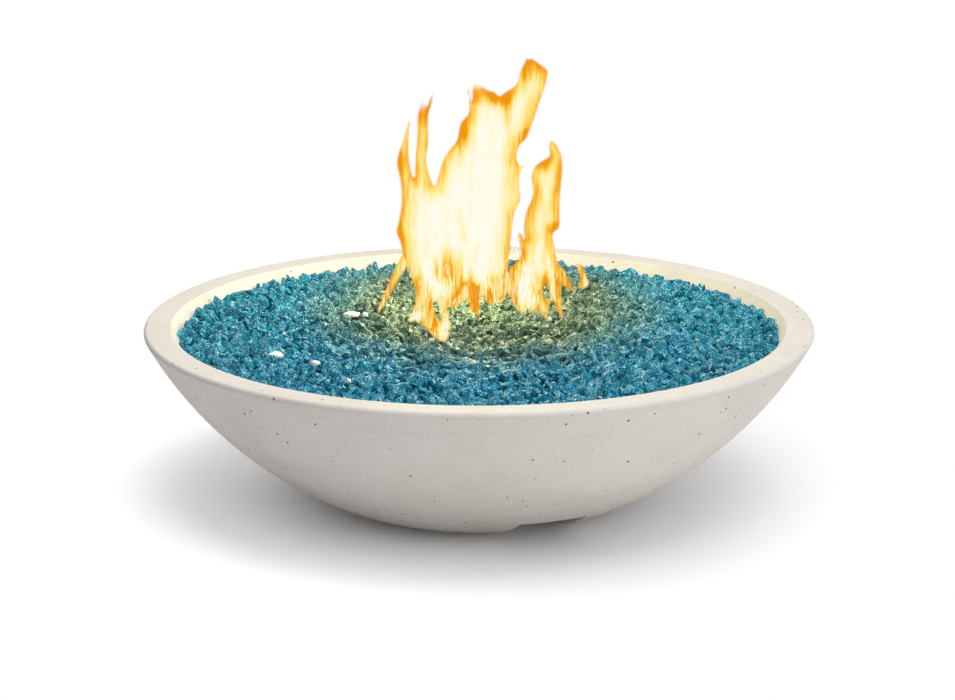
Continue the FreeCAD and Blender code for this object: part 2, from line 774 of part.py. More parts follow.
def make_line_nuts():
    """Make the four flare nuts at the ends of the two gas lines."""
    at_mixer = put(line_nut("burner_line_nut_mixer"), "-mixer_tip", 0, "mixer_z", Y_AXIS, -90)
    at_outlet = put(line_nut("burner_line_nut_valve"), "-valve_reach", "valve_y", "valve_z", Y_AXIS, -90)
    at_port = put(line_nut("supply_line_nut_valve"), "valve_reach", "valve_y", "valve_z", Y_AXIS, 90)
    at_inlet = on_slot_axis(line_nut("supply_line_nut_inlet"), "inlet_inner", False)
    return [at_mixer, at_outlet, at_port, at_inlet]


def smooth_path(points):
    """Return a wire of straight runs joined by tangent arcs, and print the arcs' radii."""
    edges = []
    here = points[0]
    radii = []
    for before, corner, after in zip(points, points[1:], points[2:]):
        inwards = (corner - before)
        outwards = (after - corner)
        turn = inwards.getAngle(outwards)
        radius = 0.45 * min(inwards.Length, outwards.Length) / math.tan(turn / 2)
        radii.append(round(radius, 1))
        back = radius * math.tan(turn / 2)
        inwards.normalize()
        outwards.normalize()
        start = corner - inwards * back
        end = corner + outwards * back
        bisector = (outwards - inwards).normalize()
        centre = corner + bisector * (radius / math.cos(turn / 2))
        middle = centre - bisector * radius
        edges.append(Part.LineSegment(here, start).toShape())
        edges.append(Part.Arc(start, middle, end).toShape())
        here = end
    edges.append(Part.LineSegment(here, points[-1]).toShape())
    print("arc radii", radii)
    return Part.Wire(edges)


def gas_line(label, corners):
    """Make a hollow line along a path of corners given as triples of formulas."""
    points = [Vector(*[number(value) for value in corner]) for corner in corners]
    path = smooth_path(points)
    heading = points[1] - points[0]
    tubes = []
    for radius in (number("line_radius"), number("line_radius - line_wall")):
        section = Part.Wire(Part.Circle(points[0], heading, radius).toShape())
        tubes.append(path.makePipeShell([section], True, False))
    made = DOC.addObject("Part::Feature", label)
    made.Shape = tubes[0].cut(tubes[1])
    made.Label = label
    section = math.pi * (number("line_radius") ** 2 - number("line_radius - line_wall") ** 2)
    share = made.Shape.Volume / (section * path.Length)
    print(label, "length", round(path.Length, 1), "volume over section times length", round(share, 4))
    return made


def make_lines():
    """Make the line from the inlet to the valve and the line from the valve to the mixer."""
    x, y = along_slot("inlet_inner - seat_gap", 0)
    low_x, low_y = along_slot("inlet_inner - seat_gap - supply_start", 0)
    supply = gas_line("supply_line", [
        (x, y, "inlet_height"),
        (low_x, low_y, "inlet_height"),
        polar("(chamber_reach / 3)", SUPPLY_BEND) + ("inlet_height + supply_lift",),
        polar("(chamber_reach - supply_gap)", SUPPLY_RISE) + ("valve_z - supply_dip",),
        ("valve_reach + supply_end", "valve_y", "valve_z"),
        ("valve_reach + seat_gap", "valve_y", "valve_z"),
    ])
    begin = "-(mixer_tip + seat_gap)"
    burner = gas_line("burner_line", [
        (begin, 0, "mixer_z"),
        (begin + " - burner_start", 0, "mixer_z"),
        polar("(chamber_reach - burner_gap)", BURNER_BEND) + ("mixer_z",),
        polar("(chamber_reach - burner_rise_gap)", BURNER_RISE) + ("(mixer_z + valve_z) / 2",),
        ("-(valve_reach + burner_end)", "valve_y", "valve_z"),
        ("-(valve_reach + seat_gap)", "valve_y", "valve_z"),
    ])
    return [supply, burner]


def across(radius, half, z):
    """Return a cylinder along X, as long each way from the axis as half, at a height z."""
    return put(cylinder(radius, "2 * (%s)" % half), "-(%s)" % half, 0, z, Y_AXIS, 90)


def make_valve():
    """Make the valve body, its quarter-turn plug, bonnet and stem seal on the key's axis."""
    barrel = cylinder("valve_radius", "valve_long", "valve_top - valve_long")
    waist = across("flare_radius + 1.5", "valve_reach - flare_long", "valve_mid")
    flares = across("flare_radius", "valve_reach", "valve_mid")
    way = across("valve_port", "valve_reach + 1", "valve_mid")
    plug_low = "valve_top - valve_long + plug_floor"
    cavity = cylinder("plug_radius", "valve_long", plug_low)
    body = on_key_axis(cut(joined([barrel, waist, flares]), [cavity, way], "valve_body"))
    plug_long = "valve_long - plug_floor - 2 * seat_gap"
    rotor = cylinder("plug_radius - running_gap", plug_long, plug_low + " + seat_gap")
    stem = cylinder("stem_radius - running_gap", "square_start - valve_top + 1", "valve_top - 1")
    square = block("stem_square", "stem_square", "square_end - square_start + 1", 0, 0, "square_start - 1")
    bore = across("valve_port", "plug_radius", "valve_mid")
    plug = on_key_axis(cut(joined([rotor, stem, square]), [bore], "valve_plug"))
    cap = cylinder("bonnet_radius", "bonnet_top - valve_top", "valve_top")
    socket = cylinder("guide_radius + thread_gap", "2 * bonnet_socket", "seal_z")
    neck = cylinder("stem_radius", "2 * bonnet_neck", "valve_top - 1")
    bonnet = on_key_axis(cut(cap, [socket, neck], "valve_bonnet"))
    disc = cylinder("guide_radius", "seal_thick", "seal_z")
    through = cylinder("stem_radius", "3 * seal_thick", "seal_z - 1")
    seal = on_key_axis(cut(disc, [through], "stem_seal"))
    return [body, plug, bonnet, seal]


def make_key_guide():
    """Make the guide tube, its nut, the chromed ring round its flange and its grip ring."""
    groove_z = "-guide_long / 2"
    tube = joined([
        cylinder("guide_flange", "guide_flange_thick"),
        cylinder("guide_radius", "guide_long", "-guide_long"),
    ])
    groove = torus("key_radius + grip_ring_wire", "grip_ring_wire + thread_gap", groove_z)
    bore = cylinder("guide_bore", "2 * guide_long", "-1.5 * guide_long")
    guide = on_key_axis(cut(tube, [bore, groove], "key_guide_tube"))
    nut_z = "-clamped_wall - locknut_thick"
    hexagonal = hexagon("guide_nut_across", "locknut_thick", nut_z)
    through = cylinder("guide_radius + thread_gap", "2 * locknut_thick", nut_z + " - 2")
    nut = on_key_axis(cut(hexagonal, [through], "key_guide_nut"))
    rose = turned("key_escutcheon", [
        ("guide_flange + seat_gap", 0), ("escutcheon_radius", 0), ("escutcheon_radius", 1.5),
        ("escutcheon_radius - 1.5", "escutcheon_thick"), ("guide_flange + seat_gap", "escutcheon_thick"),
    ])
    on_key_axis(rose)
    grip = torus("key_radius + running_gap + grip_ring_wire", "grip_ring_wire - running_gap", groove_z)
    grip_ring = on_key_axis(group("key_grip_ring", [grip]))
    return [guide, nut, rose, grip_ring]


def make_key():
    """Make the key: a shaft with a square socket, and a cross handle on its outer end."""
    start = "square_start + key_socket_gap"
    shaft = cylinder("key_radius", "key_reach - (%s)" % start, start)
    side = "stem_square + 2 * key_socket_gap"
    socket = block(side, side, "stem_square_long + 1", 0, 0, "square_start - 1 + key_socket_gap")
    rod = on_key_axis(cut(shaft, [socket], "gas_key_shaft"))
    boss = cylinder("key_boss_radius", "key_boss_long", "key_reach - key_boss_long / 2")
    bar = across("key_bar_radius", "key_bar_half", "key_reach + 1")
    hole = cylinder("key_radius + thread_gap", "key_boss_long", "key_reach - key_boss_long + thread_gap")
    handle = on_key_axis(cut(joined([boss, bar]), [hole], "gas_key_handle"))
    return [rod, handle]


def make_bracket():
    """Make the steel bracket that bridges the slot and carries the inlet on its tab."""
    base = block("bracket_wide", "bracket_deep", "bracket_thick", 0, "bracket_deep / 2", "chamber_floor")
    tab_tall = "chamber_floor - tab_gap + 1"
    tab = block("tab_wide", "bracket_thick", tab_tall, 0, "bracket_thick / 2", "tab_gap")
    hole = cylinder("flare_radius + seat_gap", "3 * bracket_thick")
    tools = [put(hole, 0, "2 * bracket_thick", "inlet_height", X_AXIS, 90)]
    for side in (-1, 1):
        hole = cylinder("bracket_screw_radius + seat_gap", "3 * bracket_thick")
        tools.append(put(hole, "%d * bracket_screw_side" % side, "bracket_deep / 2", "chamber_floor - 1"))
    bracket = cut(joined([base, tab]), tools, "inlet_bracket")
    x, y = along_slot("tab_face", 0)
    return put(bracket, x, y, 0, Z_AXIS, "slot_angle")


def make_inlet():
    """Make the bracket, its screws and inserts, the bulkhead union and its locknut."""
    spots = [bracket_screw_place(side) for side in (-1, 1)]
    seat = "chamber_floor + bracket_thick"
    screws = group("bracket_screws", [screw(x, y, seat) for x, y in spots])
    inserts = group("floor_inserts", [insert(x, y, "chamber_floor") for x, y in spots])
    solid = joined([
        cylinder("flare_radius", "tab_face - inlet_inner + 1", "inlet_inner - tab_face"),
        hexagon("fitting_hex", "hex_long"),
        cylinder("flare_radius", "flare_long", "hex_long"),
    ])
    union = cut(solid, [cylinder("fitting_bore", "4 * flare_long", "-2 * flare_long")], "inlet_union")
    nut_z = "-bracket_thick - hex_long + 2"
    through = cylinder("flare_radius + thread_gap", "2 * hex_long", nut_z + " - 1")
    nut = cut(hexagon("fitting_hex + 2", "hex_long - 2", nut_z), [through], "inlet_locknut")
    made = [make_bracket(), screws, inserts]
    return made + [on_slot_axis(fitting, "tab_face") for fitting in (union, nut)]


def glass_edge(height):
    """Return the glass's outer radius at a height, a gap inside the bowl's inner wall."""
    arc_radius = number("inner_arc - glass_wall_gap")
    return number("wall_x") + math.sqrt(arc_radius ** 2 - (number("wall_z") - height) ** 2)


def make_glass_fill():
    """Make the glass under the top layer, packed round the burner above the pan."""
    clear = "glass_clear"
    over_heads = "ledge_z + sheet_thick + pan_screw_crown + " + clear
    lip_inner = "pan_radius - sheet_thick - " + clear
    lip_top = "ledge_z + pan_lip + " + clear
    rim_low = "wall_x + sqrt((inner_arc - glass_wall_gap) ^ 2 - (wall_z - (%s)) ^ 2)" % lip_top
    rim_high = "wall_x + sqrt((inner_arc - glass_wall_gap) ^ 2 - (wall_z - glass_seat) ^ 2)"
    body = turned("glass_form", [
        (0, "pan_top + " + clear), ("well_radius - sheet_thick - " + clear, "pan_top + " + clear),
        ("well_radius - sheet_thick - " + clear, over_heads), (lip_inner, over_heads),
        (lip_inner, lip_top), (rim_low, lip_top), (rim_high, "glass_seat"), (0, "glass_seat"),
    ])
    tools = [
        torus("outer_ring_circle", "ring_tube + " + clear, "ring_z"),
        torus("inner_ring_circle", "ring_tube + " + clear, "ring_z"),
        cylinder("hub_radius + " + clear, "hub_tall + 2 * " + clear, "pan_top"),
    ]
    for angle in CROSS:
        tools.append(spoke("spoke_tube + " + clear, 0, "outer_ring_circle", angle, "ring_z"))
    for angle in QUARTERS:
        side = "burner_foot_width + 2 * " + clear
        x, y = polar("outer_ring_circle", angle)
        room = group("burner_foot_room", [block(side, side, "ring_lift", 0, 0, "pan_top")])
        tools.append(put(room, x, y, 0, Z_AXIS, angle))
    return cut(body, tools, "fire_glass_fill")


def lump(ring_index, step):
    """Return a fixed uneven share between -1 and 1 for one point of the glass top."""
    wave = math.sin(12.9898 * ring_index + 78.233 * step + 0.7) * 43.7585
    return 2 * (wave - math.floor(wave)) - 1


def glass_point(ring_index, step):
    """Return one point of the glass top: rings of six more points each, uneven in height."""
    base = number("glass_level")
    edge = glass_edge(base - number("glass_lump"))
    reach = edge * ring_index / GLASS_RINGS
    share = 1 - (ring_index / GLASS_RINGS) ** 2
    height = base + number("glass_mound") * share + number("glass_lump") * 0.8 * lump(ring_index, step)
    if ring_index == GLASS_RINGS:
        height = base - number("glass_lump")
    angle = 2 * math.pi * step / max(1, POINTS_PER_RING * ring_index)
    return Vector(reach * math.cos(angle), reach * math.sin(angle), height)


def facet(corners):
    """Return a flat face through its corners."""
    return Part.Face(Part.makePolygon(corners + corners[:1]))


def glass_rings():
    """Return the points of the glass top, ring by ring from the centre."""
    rings = [[glass_point(0, 0)]]
    for ring_index in range(1, GLASS_RINGS + 1):
        rings.append([glass_point(ring_index, step) for step in range(POINTS_PER_RING * ring_index)])
    return rings


def glass_facets(rings):
    """Return the triangles between each ring of points and the next."""
    faces = []
    for index in range(1, len(rings)):
        inner, outer = rings[index - 1], rings[index]
        for sector in range(POINTS_PER_RING):
            for step in range(index):
                low = outer[sector * index + step]
                high = outer[(sector * index + step + 1) % len(outer)]
                near = inner[(sector * (index - 1) + step) % len(inner)]
                faces.append(facet([near, low, high]))
                if step < index - 1:
                    following = inner[(sector * (index - 1) + step + 1) % len(inner)]
                    faces.append(facet([near, high, following]))
    return faces


def make_glass_top():
    """Make the lumpy top layer of glass as one closed solid on the fill."""
    rings = glass_rings()
    faces = glass_facets(rings)
    seat = number("glass_seat")
    edge = glass_edge(seat) - 1
    rim = rings[-1]
    foot = []
    for point in rim:
        share = edge / math.hypot(point.x, point.y)
        foot.append(Vector(share * point.x, share * point.y, seat))
    for index in range(len(rim)):
        after = (index + 1) % len(rim)
        faces.append(facet([rim[index], foot[index], foot[after]]))
        faces.append(facet([rim[index], foot[after], rim[after]]))
    faces.append(facet(foot))
    layer = DOC.addObject("Part::Feature", "fire_glass_top")
    layer.Shape = Part.Solid(Part.Shell(faces))
    layer.Label = "fire_glass_top"
    return layer


def check(parts):
    """Stop if any object failed, or if a sub-part is empty or not valid."""
    for thing in DOC.Objects:
        if "Invalid" in thing.State or "Error" in thing.State:
            raise RuntimeError("%s failed: %s" % (thing.Label, thing.State))
    for part in parts:
        if part.Shape.isNull() or not part.Shape.isValid() or part.Shape.Volume <= 0:
            raise RuntimeError("%s has no sound shape" % part.Label)


def make_parts():
    """Make every sub-part of the fire pit."""
    parts = [make_bowl(), make_foot_pads()] + make_ledge_fixings() + [make_pan()]
    parts += make_burner() + make_hub_clamp() + [make_elbow()] + make_mixer() + [make_spud()]
    parts += make_line_nuts() + make_valve() + make_key_guide() + make_key() + make_inlet()
    parts += [make_glass_fill(), make_glass_top()] + make_lines()
    return parts


DOC = FreeCAD.newDocument("fire_pit")
SHEET = make_sheet()
make_worked()
PARTS = make_parts()
DOC.recompute()
check(PARTS)
os.makedirs("parts", exist_ok=True)
for finished in PARTS:
    finished.Shape.exportStep("parts/%s.step" % finished.Label)
    print(finished.Label, len(finished.Shape.Solids), round(finished.Shape.Volume))
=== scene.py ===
"""Dress the tabletop gas fire pit: concrete bowl, crushed glass, gas fittings and its flame."""

import json
import logging
import math
from dataclasses import dataclass
from enum import Enum

import bmesh
import bpy
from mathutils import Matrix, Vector, noise
from mathutils.bvhtree import BVHTree
from mathutils.kdtree import KDTree

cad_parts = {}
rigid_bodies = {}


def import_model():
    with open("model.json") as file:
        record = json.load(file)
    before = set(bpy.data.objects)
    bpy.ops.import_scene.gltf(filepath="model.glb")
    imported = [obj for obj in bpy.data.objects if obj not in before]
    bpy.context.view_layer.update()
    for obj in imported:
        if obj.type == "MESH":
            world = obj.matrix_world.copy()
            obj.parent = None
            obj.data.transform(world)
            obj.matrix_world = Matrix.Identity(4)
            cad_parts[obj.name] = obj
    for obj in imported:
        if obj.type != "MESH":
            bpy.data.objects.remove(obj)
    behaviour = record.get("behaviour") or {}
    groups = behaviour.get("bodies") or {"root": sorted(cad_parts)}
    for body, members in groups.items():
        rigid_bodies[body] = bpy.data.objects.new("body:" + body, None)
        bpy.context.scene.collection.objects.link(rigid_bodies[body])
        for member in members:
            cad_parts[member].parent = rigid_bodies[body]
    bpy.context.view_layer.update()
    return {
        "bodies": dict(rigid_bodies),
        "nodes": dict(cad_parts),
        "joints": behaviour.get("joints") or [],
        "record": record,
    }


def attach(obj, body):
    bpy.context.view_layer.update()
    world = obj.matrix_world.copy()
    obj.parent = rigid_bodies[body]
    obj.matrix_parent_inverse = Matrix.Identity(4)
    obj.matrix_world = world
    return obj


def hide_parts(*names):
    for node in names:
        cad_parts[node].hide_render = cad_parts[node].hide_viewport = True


LOG = logging.getLogger("fire_pit")
MILLI = 0.001
NOISE_MEAN = 0.5
NOISE_SEED = 7

Pair = tuple[float, float]
Triple = tuple[float, float, float]
Colour = tuple[float, float, float, float]
Stops = tuple[tuple[float, Colour], ...]
Loop = tuple[Pair, ...]
Spot = tuple[float, float, float, float, float]

BLACK: Colour = (0.0, 0.0, 0.0, 1.0)
WHITE: Colour = (1.0, 1.0, 1.0, 1.0)


def rgb(red: float, green: float, blue: float) -> Colour:
    """Return a linear colour from display values of 0 to 255."""

    def linear(value: float) -> float:
        """Undo the display curve of one channel."""
        share = value / 255
        return share / 12.92 if share <= 0.04045 else ((share + 0.055) / 1.055) ** 2.4

    return (linear(red), linear(green), linear(blue), 1.0)


@dataclass(frozen=True)
class Grain:
    """A noise: its lumps to the metre, its finer layers and how far it is twisted."""

    scale: float
    detail: float = 2.0
    warp: float = 0.0


class Signal:
    """One output of a node tree, which takes part in sums and products."""

    def __init__(self, board: "Board", socket: bpy.types.NodeSocket) -> None:
        """Keep the socket and the board it stands on."""
        self.board = board
        self.socket = socket

    def _math(self, operation: str, first: "Feed", second: "Feed") -> "Signal":
        """Return the result of a two-value Math node."""
        return self.board.add("ShaderNodeMath", {"operation": operation}, {0: first, 1: second})

    def __add__(self, other: "Feed") -> "Signal":
        """Return self + other."""
        return self._math("ADD", self, other)

    def __radd__(self, other: "Feed") -> "Signal":
        """Return other + self."""
        return self._math("ADD", other, self)

    def __sub__(self, other: "Feed") -> "Signal":
        """Return self - other."""
        return self._math("SUBTRACT", self, other)

    def __rsub__(self, other: "Feed") -> "Signal":
        """Return other - self."""
        return self._math("SUBTRACT", other, self)

    def __mul__(self, other: "Feed") -> "Signal":
        """Return self * other."""
        return self._math("MULTIPLY", self, other)

    def __rmul__(self, other: "Feed") -> "Signal":
        """Return other * self."""
        return self._math("MULTIPLY", other, self)

    def __truediv__(self, other: "Feed") -> "Signal":
        """Return self / other."""
        return self._math("DIVIDE", self, other)

    def __rtruediv__(self, other: "Feed") -> "Signal":
        """Return other / self."""
        return self._math("DIVIDE", other, self)

    def __pow__(self, other: "Feed") -> "Signal":
        """Return self to the power of other."""
        return self._math("POWER", self, other)

    def above(self, low: float, high: float) -> "Signal":
        """Return 0 below low, 1 above high and a smooth step between.

        Args:
            low: Where the step starts.
            high: Where the step ends.

        Returns:
            The step as a value.
        """
        return self.board.add(
            "ShaderNodeMapRange",
            {"interpolation_type": "SMOOTHSTEP", "clamp": True},
            {"Value": self, "From Min": low, "From Max": high, "To Min": 0.0, "To Max": 1.0},
        )

    def line(self, half: float) -> "Signal":
        """Return thin lines where a noise crosses its mean, half a width to each side."""
        rising = self.above(NOISE_MEAN - half, NOISE_MEAN)
        return rising - self.above(NOISE_MEAN, NOISE_MEAN + half)

    def output(self, name: str) -> "Signal":
        """Return another output of the same node."""
        return Signal(self.board, self.socket.node.outputs[name])


Feed = Signal | float | int | bool | str | tuple | bpy.types.ID


class Board:
    """A node tree that is filled through one method."""

    def __init__(self, tree: bpy.types.NodeTree) -> None:
        """Start from an empty tree."""
        self.tree = tree
        tree.nodes.clear()

    def add(
        self,
        kind: str,
        settings: dict[str, object] | None = None,
        feeds: dict[str | int, Feed] | None = None,
        out: str | int = 0,
    ) -> Signal:
        """Add one node.

        Args:
            kind: The node's type.
            settings: Its properties, and "stops" for a colour ramp.
            feeds: Values or links for its inputs, by name or place.
            out: The output that is returned.

        Returns:
            That output.
        """
        node = self.tree.nodes.new(kind)
        for name, value in (settings or {}).items():
            if name == "stops":
                self._fill_ramp(node.color_ramp, value)
            else:
                setattr(node, name, value)
        for place, feed in (feeds or {}).items():
            if isinstance(feed, Signal):
                self.tree.links.new(feed.socket, node.inputs[place])
            else:
                node.inputs[place].default_value = feed
        if not node.outputs:
            return Signal(self, node.inputs[0])
        return Signal(self, node.outputs[out])

    @staticmethod
    def _fill_ramp(ramp: bpy.types.ColorRamp, stops: Stops) -> None:
        """Set a colour ramp's stops."""
        while len(ramp.elements) > 1:
            ramp.elements.remove(ramp.elements[-1])
        ramp.elements[0].position, ramp.elements[0].color = stops[0]
        for place, colour in stops[1:]:
            ramp.elements.new(place).color = colour

    def place(self) -> Signal:
        """Return the point's place on the object."""
        return self.add("ShaderNodeTexCoord", out="Object")

    def stretched(self, scale: Triple, at: Signal | None = None) -> Signal:
        """Return a place, the one on the object if none is given, stretched along its axes."""
        return self.add("ShaderNodeMapping", {}, {"Vector": at or self.place(), "Scale": scale})

    def along(self, place: Signal, axis: str) -> Signal:
        """Return a place's distance along one axis."""
        return self.add("ShaderNodeSeparateXYZ", {}, {0: place}, out=axis)

    def grain(self, kind: Grain, at: Signal | None = None) -> Signal:
        """Return a noise, which is NOISE_MEAN on average.

        Args:
            kind: The noise's scale and layers.
            at: The place it is read at, if not the one on the object.

        Returns:
            The noise value.
        """
        feeds = {
            "Vector": at or self.place(),
            "Scale": kind.scale,
            "Detail": kind.detail,
            "Distortion": kind.warp,
        }
        return self.add("ShaderNodeTexNoise", {"noise_dimensions": "3D"}, feeds)

    def blend(self, first: Feed, second: Feed, share: Feed) -> Signal:
        """Return a mix of two colours, which is the second one at a share of 1."""
        feeds = {0: share, 6: first, 7: second}
        return self.add("ShaderNodeMix", {"data_type": "RGBA"}, feeds, out=2)

    def either(self, first: Feed, second: Feed, share: Feed) -> Signal:
        """Return a mix of two shaders, which is the second one at a share of 1."""
        return self.add("ShaderNodeMixShader", {}, {0: share, 1: first, 2: second})

    def ramp(self, value: Signal, stops: Stops) -> Signal:
        """Return a colour read from a ramp at a value."""
        return self.add("ShaderNodeValToRGB", {"stops": stops}, {"Fac": value})

    def bump(self, height: Signal, depth: float) -> Signal:
        """Return a normal bent by a height that runs from 0 to 1 over a depth in metres."""
        feeds = {"Strength": 1.0, "Distance": depth, "Height": height}
        return self.add("ShaderNodeBump", {}, feeds, out="Normal")

    def attribute(self, name: str, out: str = "Fac") -> Signal:
        """Return a value, or with "Vector" a place, that is stored on the mesh."""
        return self.add("ShaderNodeAttribute", {"attribute_name": name}, out=out)

    def surface(self, feeds: dict[str | int, Feed]) -> None:
        """Add the surface shader and tie it to the material's output."""
        shader = self.add("ShaderNodeBsdfPrincipled", {}, feeds)
        self.add("ShaderNodeOutputMaterial", {}, {"Surface": shader})


def new_board(name: str) -> tuple[bpy.types.Material, Board]:
    """Return a new material and its empty board."""
    material = bpy.data.materials.new(name)
    material.use_nodes = True
    return material, Board(material.node_tree)


@dataclass(frozen=True)
class Concrete:
    """Pale cast concrete: a fine matt skin, soft cloudiness and a few open pinholes."""

    skin: Colour = rgb(227, 221, 215)
    cloud: Colour = rgb(221, 214, 207)
    bloom: Colour = rgb(236, 231, 225)
    sand: Colour = rgb(198, 191, 184)
    pit_shade: Colour = rgb(104, 97, 90)
    clouds: Grain = Grain(9.0, 4.0, 0.6)
    fine: Grain = Grain(160.0, 3.0)
    grit: Grain = Grain(900.0)
    relief: float = 0.0012
    roughness: Pair = (0.66, 0.12)
    cells: float = 80.0
    pit_size: float = 0.15
    smallest_pit: float = 0.3
    wobble: Grain = Grain(700.0, 1.0)

    def material(self) -> bpy.types.Material:
        """Return the finish as a material."""
        made, board = new_board("cast_concrete")
        fine = board.grain(self.fine)
        grit = board.grain(self.grit)
        pits = self._pits(board)
        tone = board.blend(self.skin, self.cloud, board.grain(self.clouds).above(0.38, 0.66))
        tone = board.blend(tone, self.bloom, fine.above(0.52, 0.7) * 0.5)
        tone = board.blend(tone, self.sand, grit.above(0.54, 0.74) * 0.45)
        height = (1 - pits) * 0.86 + fine * 0.09 + grit * 0.05
        board.surface(
            {
                # The pinholes' dark colour is painted shade inside them; the bump also sinks them.
                "Base Color": board.blend(tone, self.pit_shade, pits),
                "Roughness": fine * self.roughness[1] + self.roughness[0],
                "Specular IOR Level": 0.35,
                "Normal": board.bump(height, self.relief),
            }
        )
        return made

    def _pits(self, board: Board) -> Signal:
        """Return a mask of round pinholes of uneven size, 1 inside them."""
        cells = board.add(
            "ShaderNodeTexVoronoi",
            {"feature": "F1"},
            {"Vector": board.place(), "Scale": self.cells, "Randomness": 1.0},
            out="Distance",
        )
        colour = {"Color": cells.output("Color")}
        chance = board.add("ShaderNodeSeparateColor", {}, colour, out="Green")
        reach = (chance**3 * (1 - self.smallest_pit) + self.smallest_pit) * self.pit_size
        wobble = (board.grain(self.wobble) - NOISE_MEAN) * 0.05
        return 1 - ((cells + wobble) / reach).above(0.75, 1.1)


@dataclass(frozen=True)
class CrushedGlass:
    """Turquoise crushed glass: every facet has its own tone, with painted olive flame light round
    the burner.
    """

    name: str = "crushed_glass"
    lift: float = 0.0
    tones: Stops = (
        (0.0, rgb(0, 66, 88)),
        (0.16, rgb(0, 94, 118)),
        (0.32, rgb(0, 119, 148)),
        (0.5, rgb(8, 142, 173)),
        (0.68, rgb(42, 166, 195)),
        (0.84, rgb(118, 198, 216)),
        (0.94, rgb(204, 234, 243)),
        (1.0, rgb(253, 254, 255)),
    )
    # Painted light: olive tones for the flame's warm glow on the blue glass.
    flame_light_tones: Stops = (
        (0.0, rgb(38, 62, 50)),
        (0.2, rgb(58, 84, 68)),
        (0.45, rgb(84, 110, 90)),
        (0.7, rgb(120, 142, 114)),
        (0.88, rgb(180, 192, 164)),
        (1.0, rgb(246, 244, 226)),
    )
    rise_reach: float = 0.006
    swirl: Grain = Grain(230.0, 3.0, 2.6)
    veins: Grain = Grain(420.0, 3.0, 2.0)
    painted_glints: Grain = Grain(620.0, 1.0, 1.0)
    offset: float = -0.35
    flame_light_middle: Triple = (0.005, 0.077, 0.0)
    flame_light_squash: Triple = (1.0, 0.74, 0.0)
    flame_light_step: Pair = (0.125, 0.265)
    flame_light_edge: Grain = Grain(26.0)
    roughness: Pair = (0.1, 0.2)
    relief: float = 0.0006

    def material(self) -> bpy.types.Material:
        """Return the finish as a material."""
        made, board = new_board(self.name)
        facet = board.attribute("facet")
        veins = board.grain(self.veins)
        rise = board.along(board.place(), "Z") - board.attribute("seat")
        tone = facet * 0.34 + board.attribute("lump") * 0.12
        # Painted shade: faces below a chunk's seat come out darker, as shade in the gaps between
        # chunks, and those above lighter.
        tone += rise.above(-self.rise_reach, self.rise_reach) * 0.5
        tone += (board.grain(self.swirl) - NOISE_MEAN) * 1.3
        tone += (veins - NOISE_MEAN) * 1.1
        tone += veins.line(0.06) * 0.26
        # Painted glints: small spots pushed towards the white end of the ramp.
        tone += board.grain(self.painted_glints).above(0.59, 0.7) * 0.56
        tone += self.offset + self.lift
        clear = board.ramp(tone, self.tones)
        flame_lit = board.ramp(tone, self.flame_light_tones)
        board.surface(
            {
                # Mix in the painted flame light round the burner.
                "Base Color": board.blend(clear, flame_lit, self._flame_light_share(board)),
                "Roughness": (1 - facet) * self.roughness[1] + self.roughness[0],
                "Specular IOR Level": 0.1,
                "IOR": 1.52,
                "Normal": board.bump(veins, self.relief),
            }
        )
        return made

    def _flame_light_share(self, board: Board) -> Signal:
        """Return how much painted flame light the glass takes, 1 over the burner."""
        away = board.add(
            "ShaderNodeVectorMath",
            {"operation": "DISTANCE"},
            {0: board.stretched(self.flame_light_squash), 1: self.flame_light_middle},
            out="Value",
        )
        wander = (board.grain(self.flame_light_edge) - NOISE_MEAN) * 0.05
        return 1 - (away + wander).above(*self.flame_light_step)


@dataclass(frozen=True)
class WhiteChip:
    """Opaque white glass with a faint skin."""

    face: Colour = rgb(246, 249, 250)
    skin: Colour = rgb(222, 234, 238)
    patches: Grain = Grain(240.0)
    scuffs: Grain = Grain(300.0)
    roughness: Pair = (0.12, 0.2)

    def material(self) -> bpy.types.Material:
        """Return the finish as a material."""
        made, board = new_board("white_chip")
        share = board.grain(self.patches).above(0.5, 0.75)
        rough = board.grain(self.scuffs) * self.roughness[1] + self.roughness[0]
        board.surface({"Base Color": board.blend(self.face, self.skin, share), "Roughness": rough})
        return made


@dataclass(frozen=True)
class MetalFinish:
    """A metal with tool marks, smudges and a little dirt."""

    name: str
    tone: Colour
    shade: Colour
    roughness: float
    stretch: Triple
    relief: float
    tooling: Grain = Grain(1.0, 3.0, 0.2)
    smudges: Grain = Grain(45.0, 3.0, 0.5)

    def material(self) -> bpy.types.Material:
        """Return the finish as a material."""
        made, board = new_board(self.name)
        marks = board.grain(self.tooling, board.stretched(self.stretch))
        smudge = board.grain(self.smudges)
        share = smudge.above(0.45, 0.75) * 0.6 + marks * 0.3
        board.surface(
            {
                "Base Color": board.blend(self.tone, self.shade, share),
                "Metallic": 1.0,
                "Roughness": smudge * 0.16 + marks * 0.12 + self.roughness,
                "Normal": board.bump(marks, self.relief),
            }
        )
        return made


class Metal(Enum):
    """The metals of the gas train, each with its finish."""

    STAINLESS = MetalFinish(
        "satin_stainless", rgb(196, 196, 198), rgb(160, 158, 156), 0.2, (60.0, 60.0, 1400.0), 8e-5
    )
    ZINC = MetalFinish(
        "zinc_plate", rgb(188, 190, 194), rgb(150, 150, 148), 0.3, (260.0, 260.0, 260.0), 1e-4
    )
    FLEX = MetalFinish(
        "flex_steel", rgb(182, 182, 184), rgb(140, 139, 138), 0.26, (90.0, 90.0, 420.0), 2e-4
    )
    ALLOY = MetalFinish(
        "cast_alloy", rgb(205, 206, 208), rgb(168, 168, 168), 0.34, (500.0, 500.0, 500.0), 1.8e-4
    )
    BRASS = MetalFinish(
        "machined_brass", rgb(214, 178, 104), rgb(168, 128, 66), 0.2, (420.0, 420.0, 60.0), 6e-5
    )
    CHROME = MetalFinish(
        "polished_chrome", rgb(226, 227, 230), rgb(196, 197, 201), 0.05, (120.0, 120.0, 120.0), 2e-5
    )


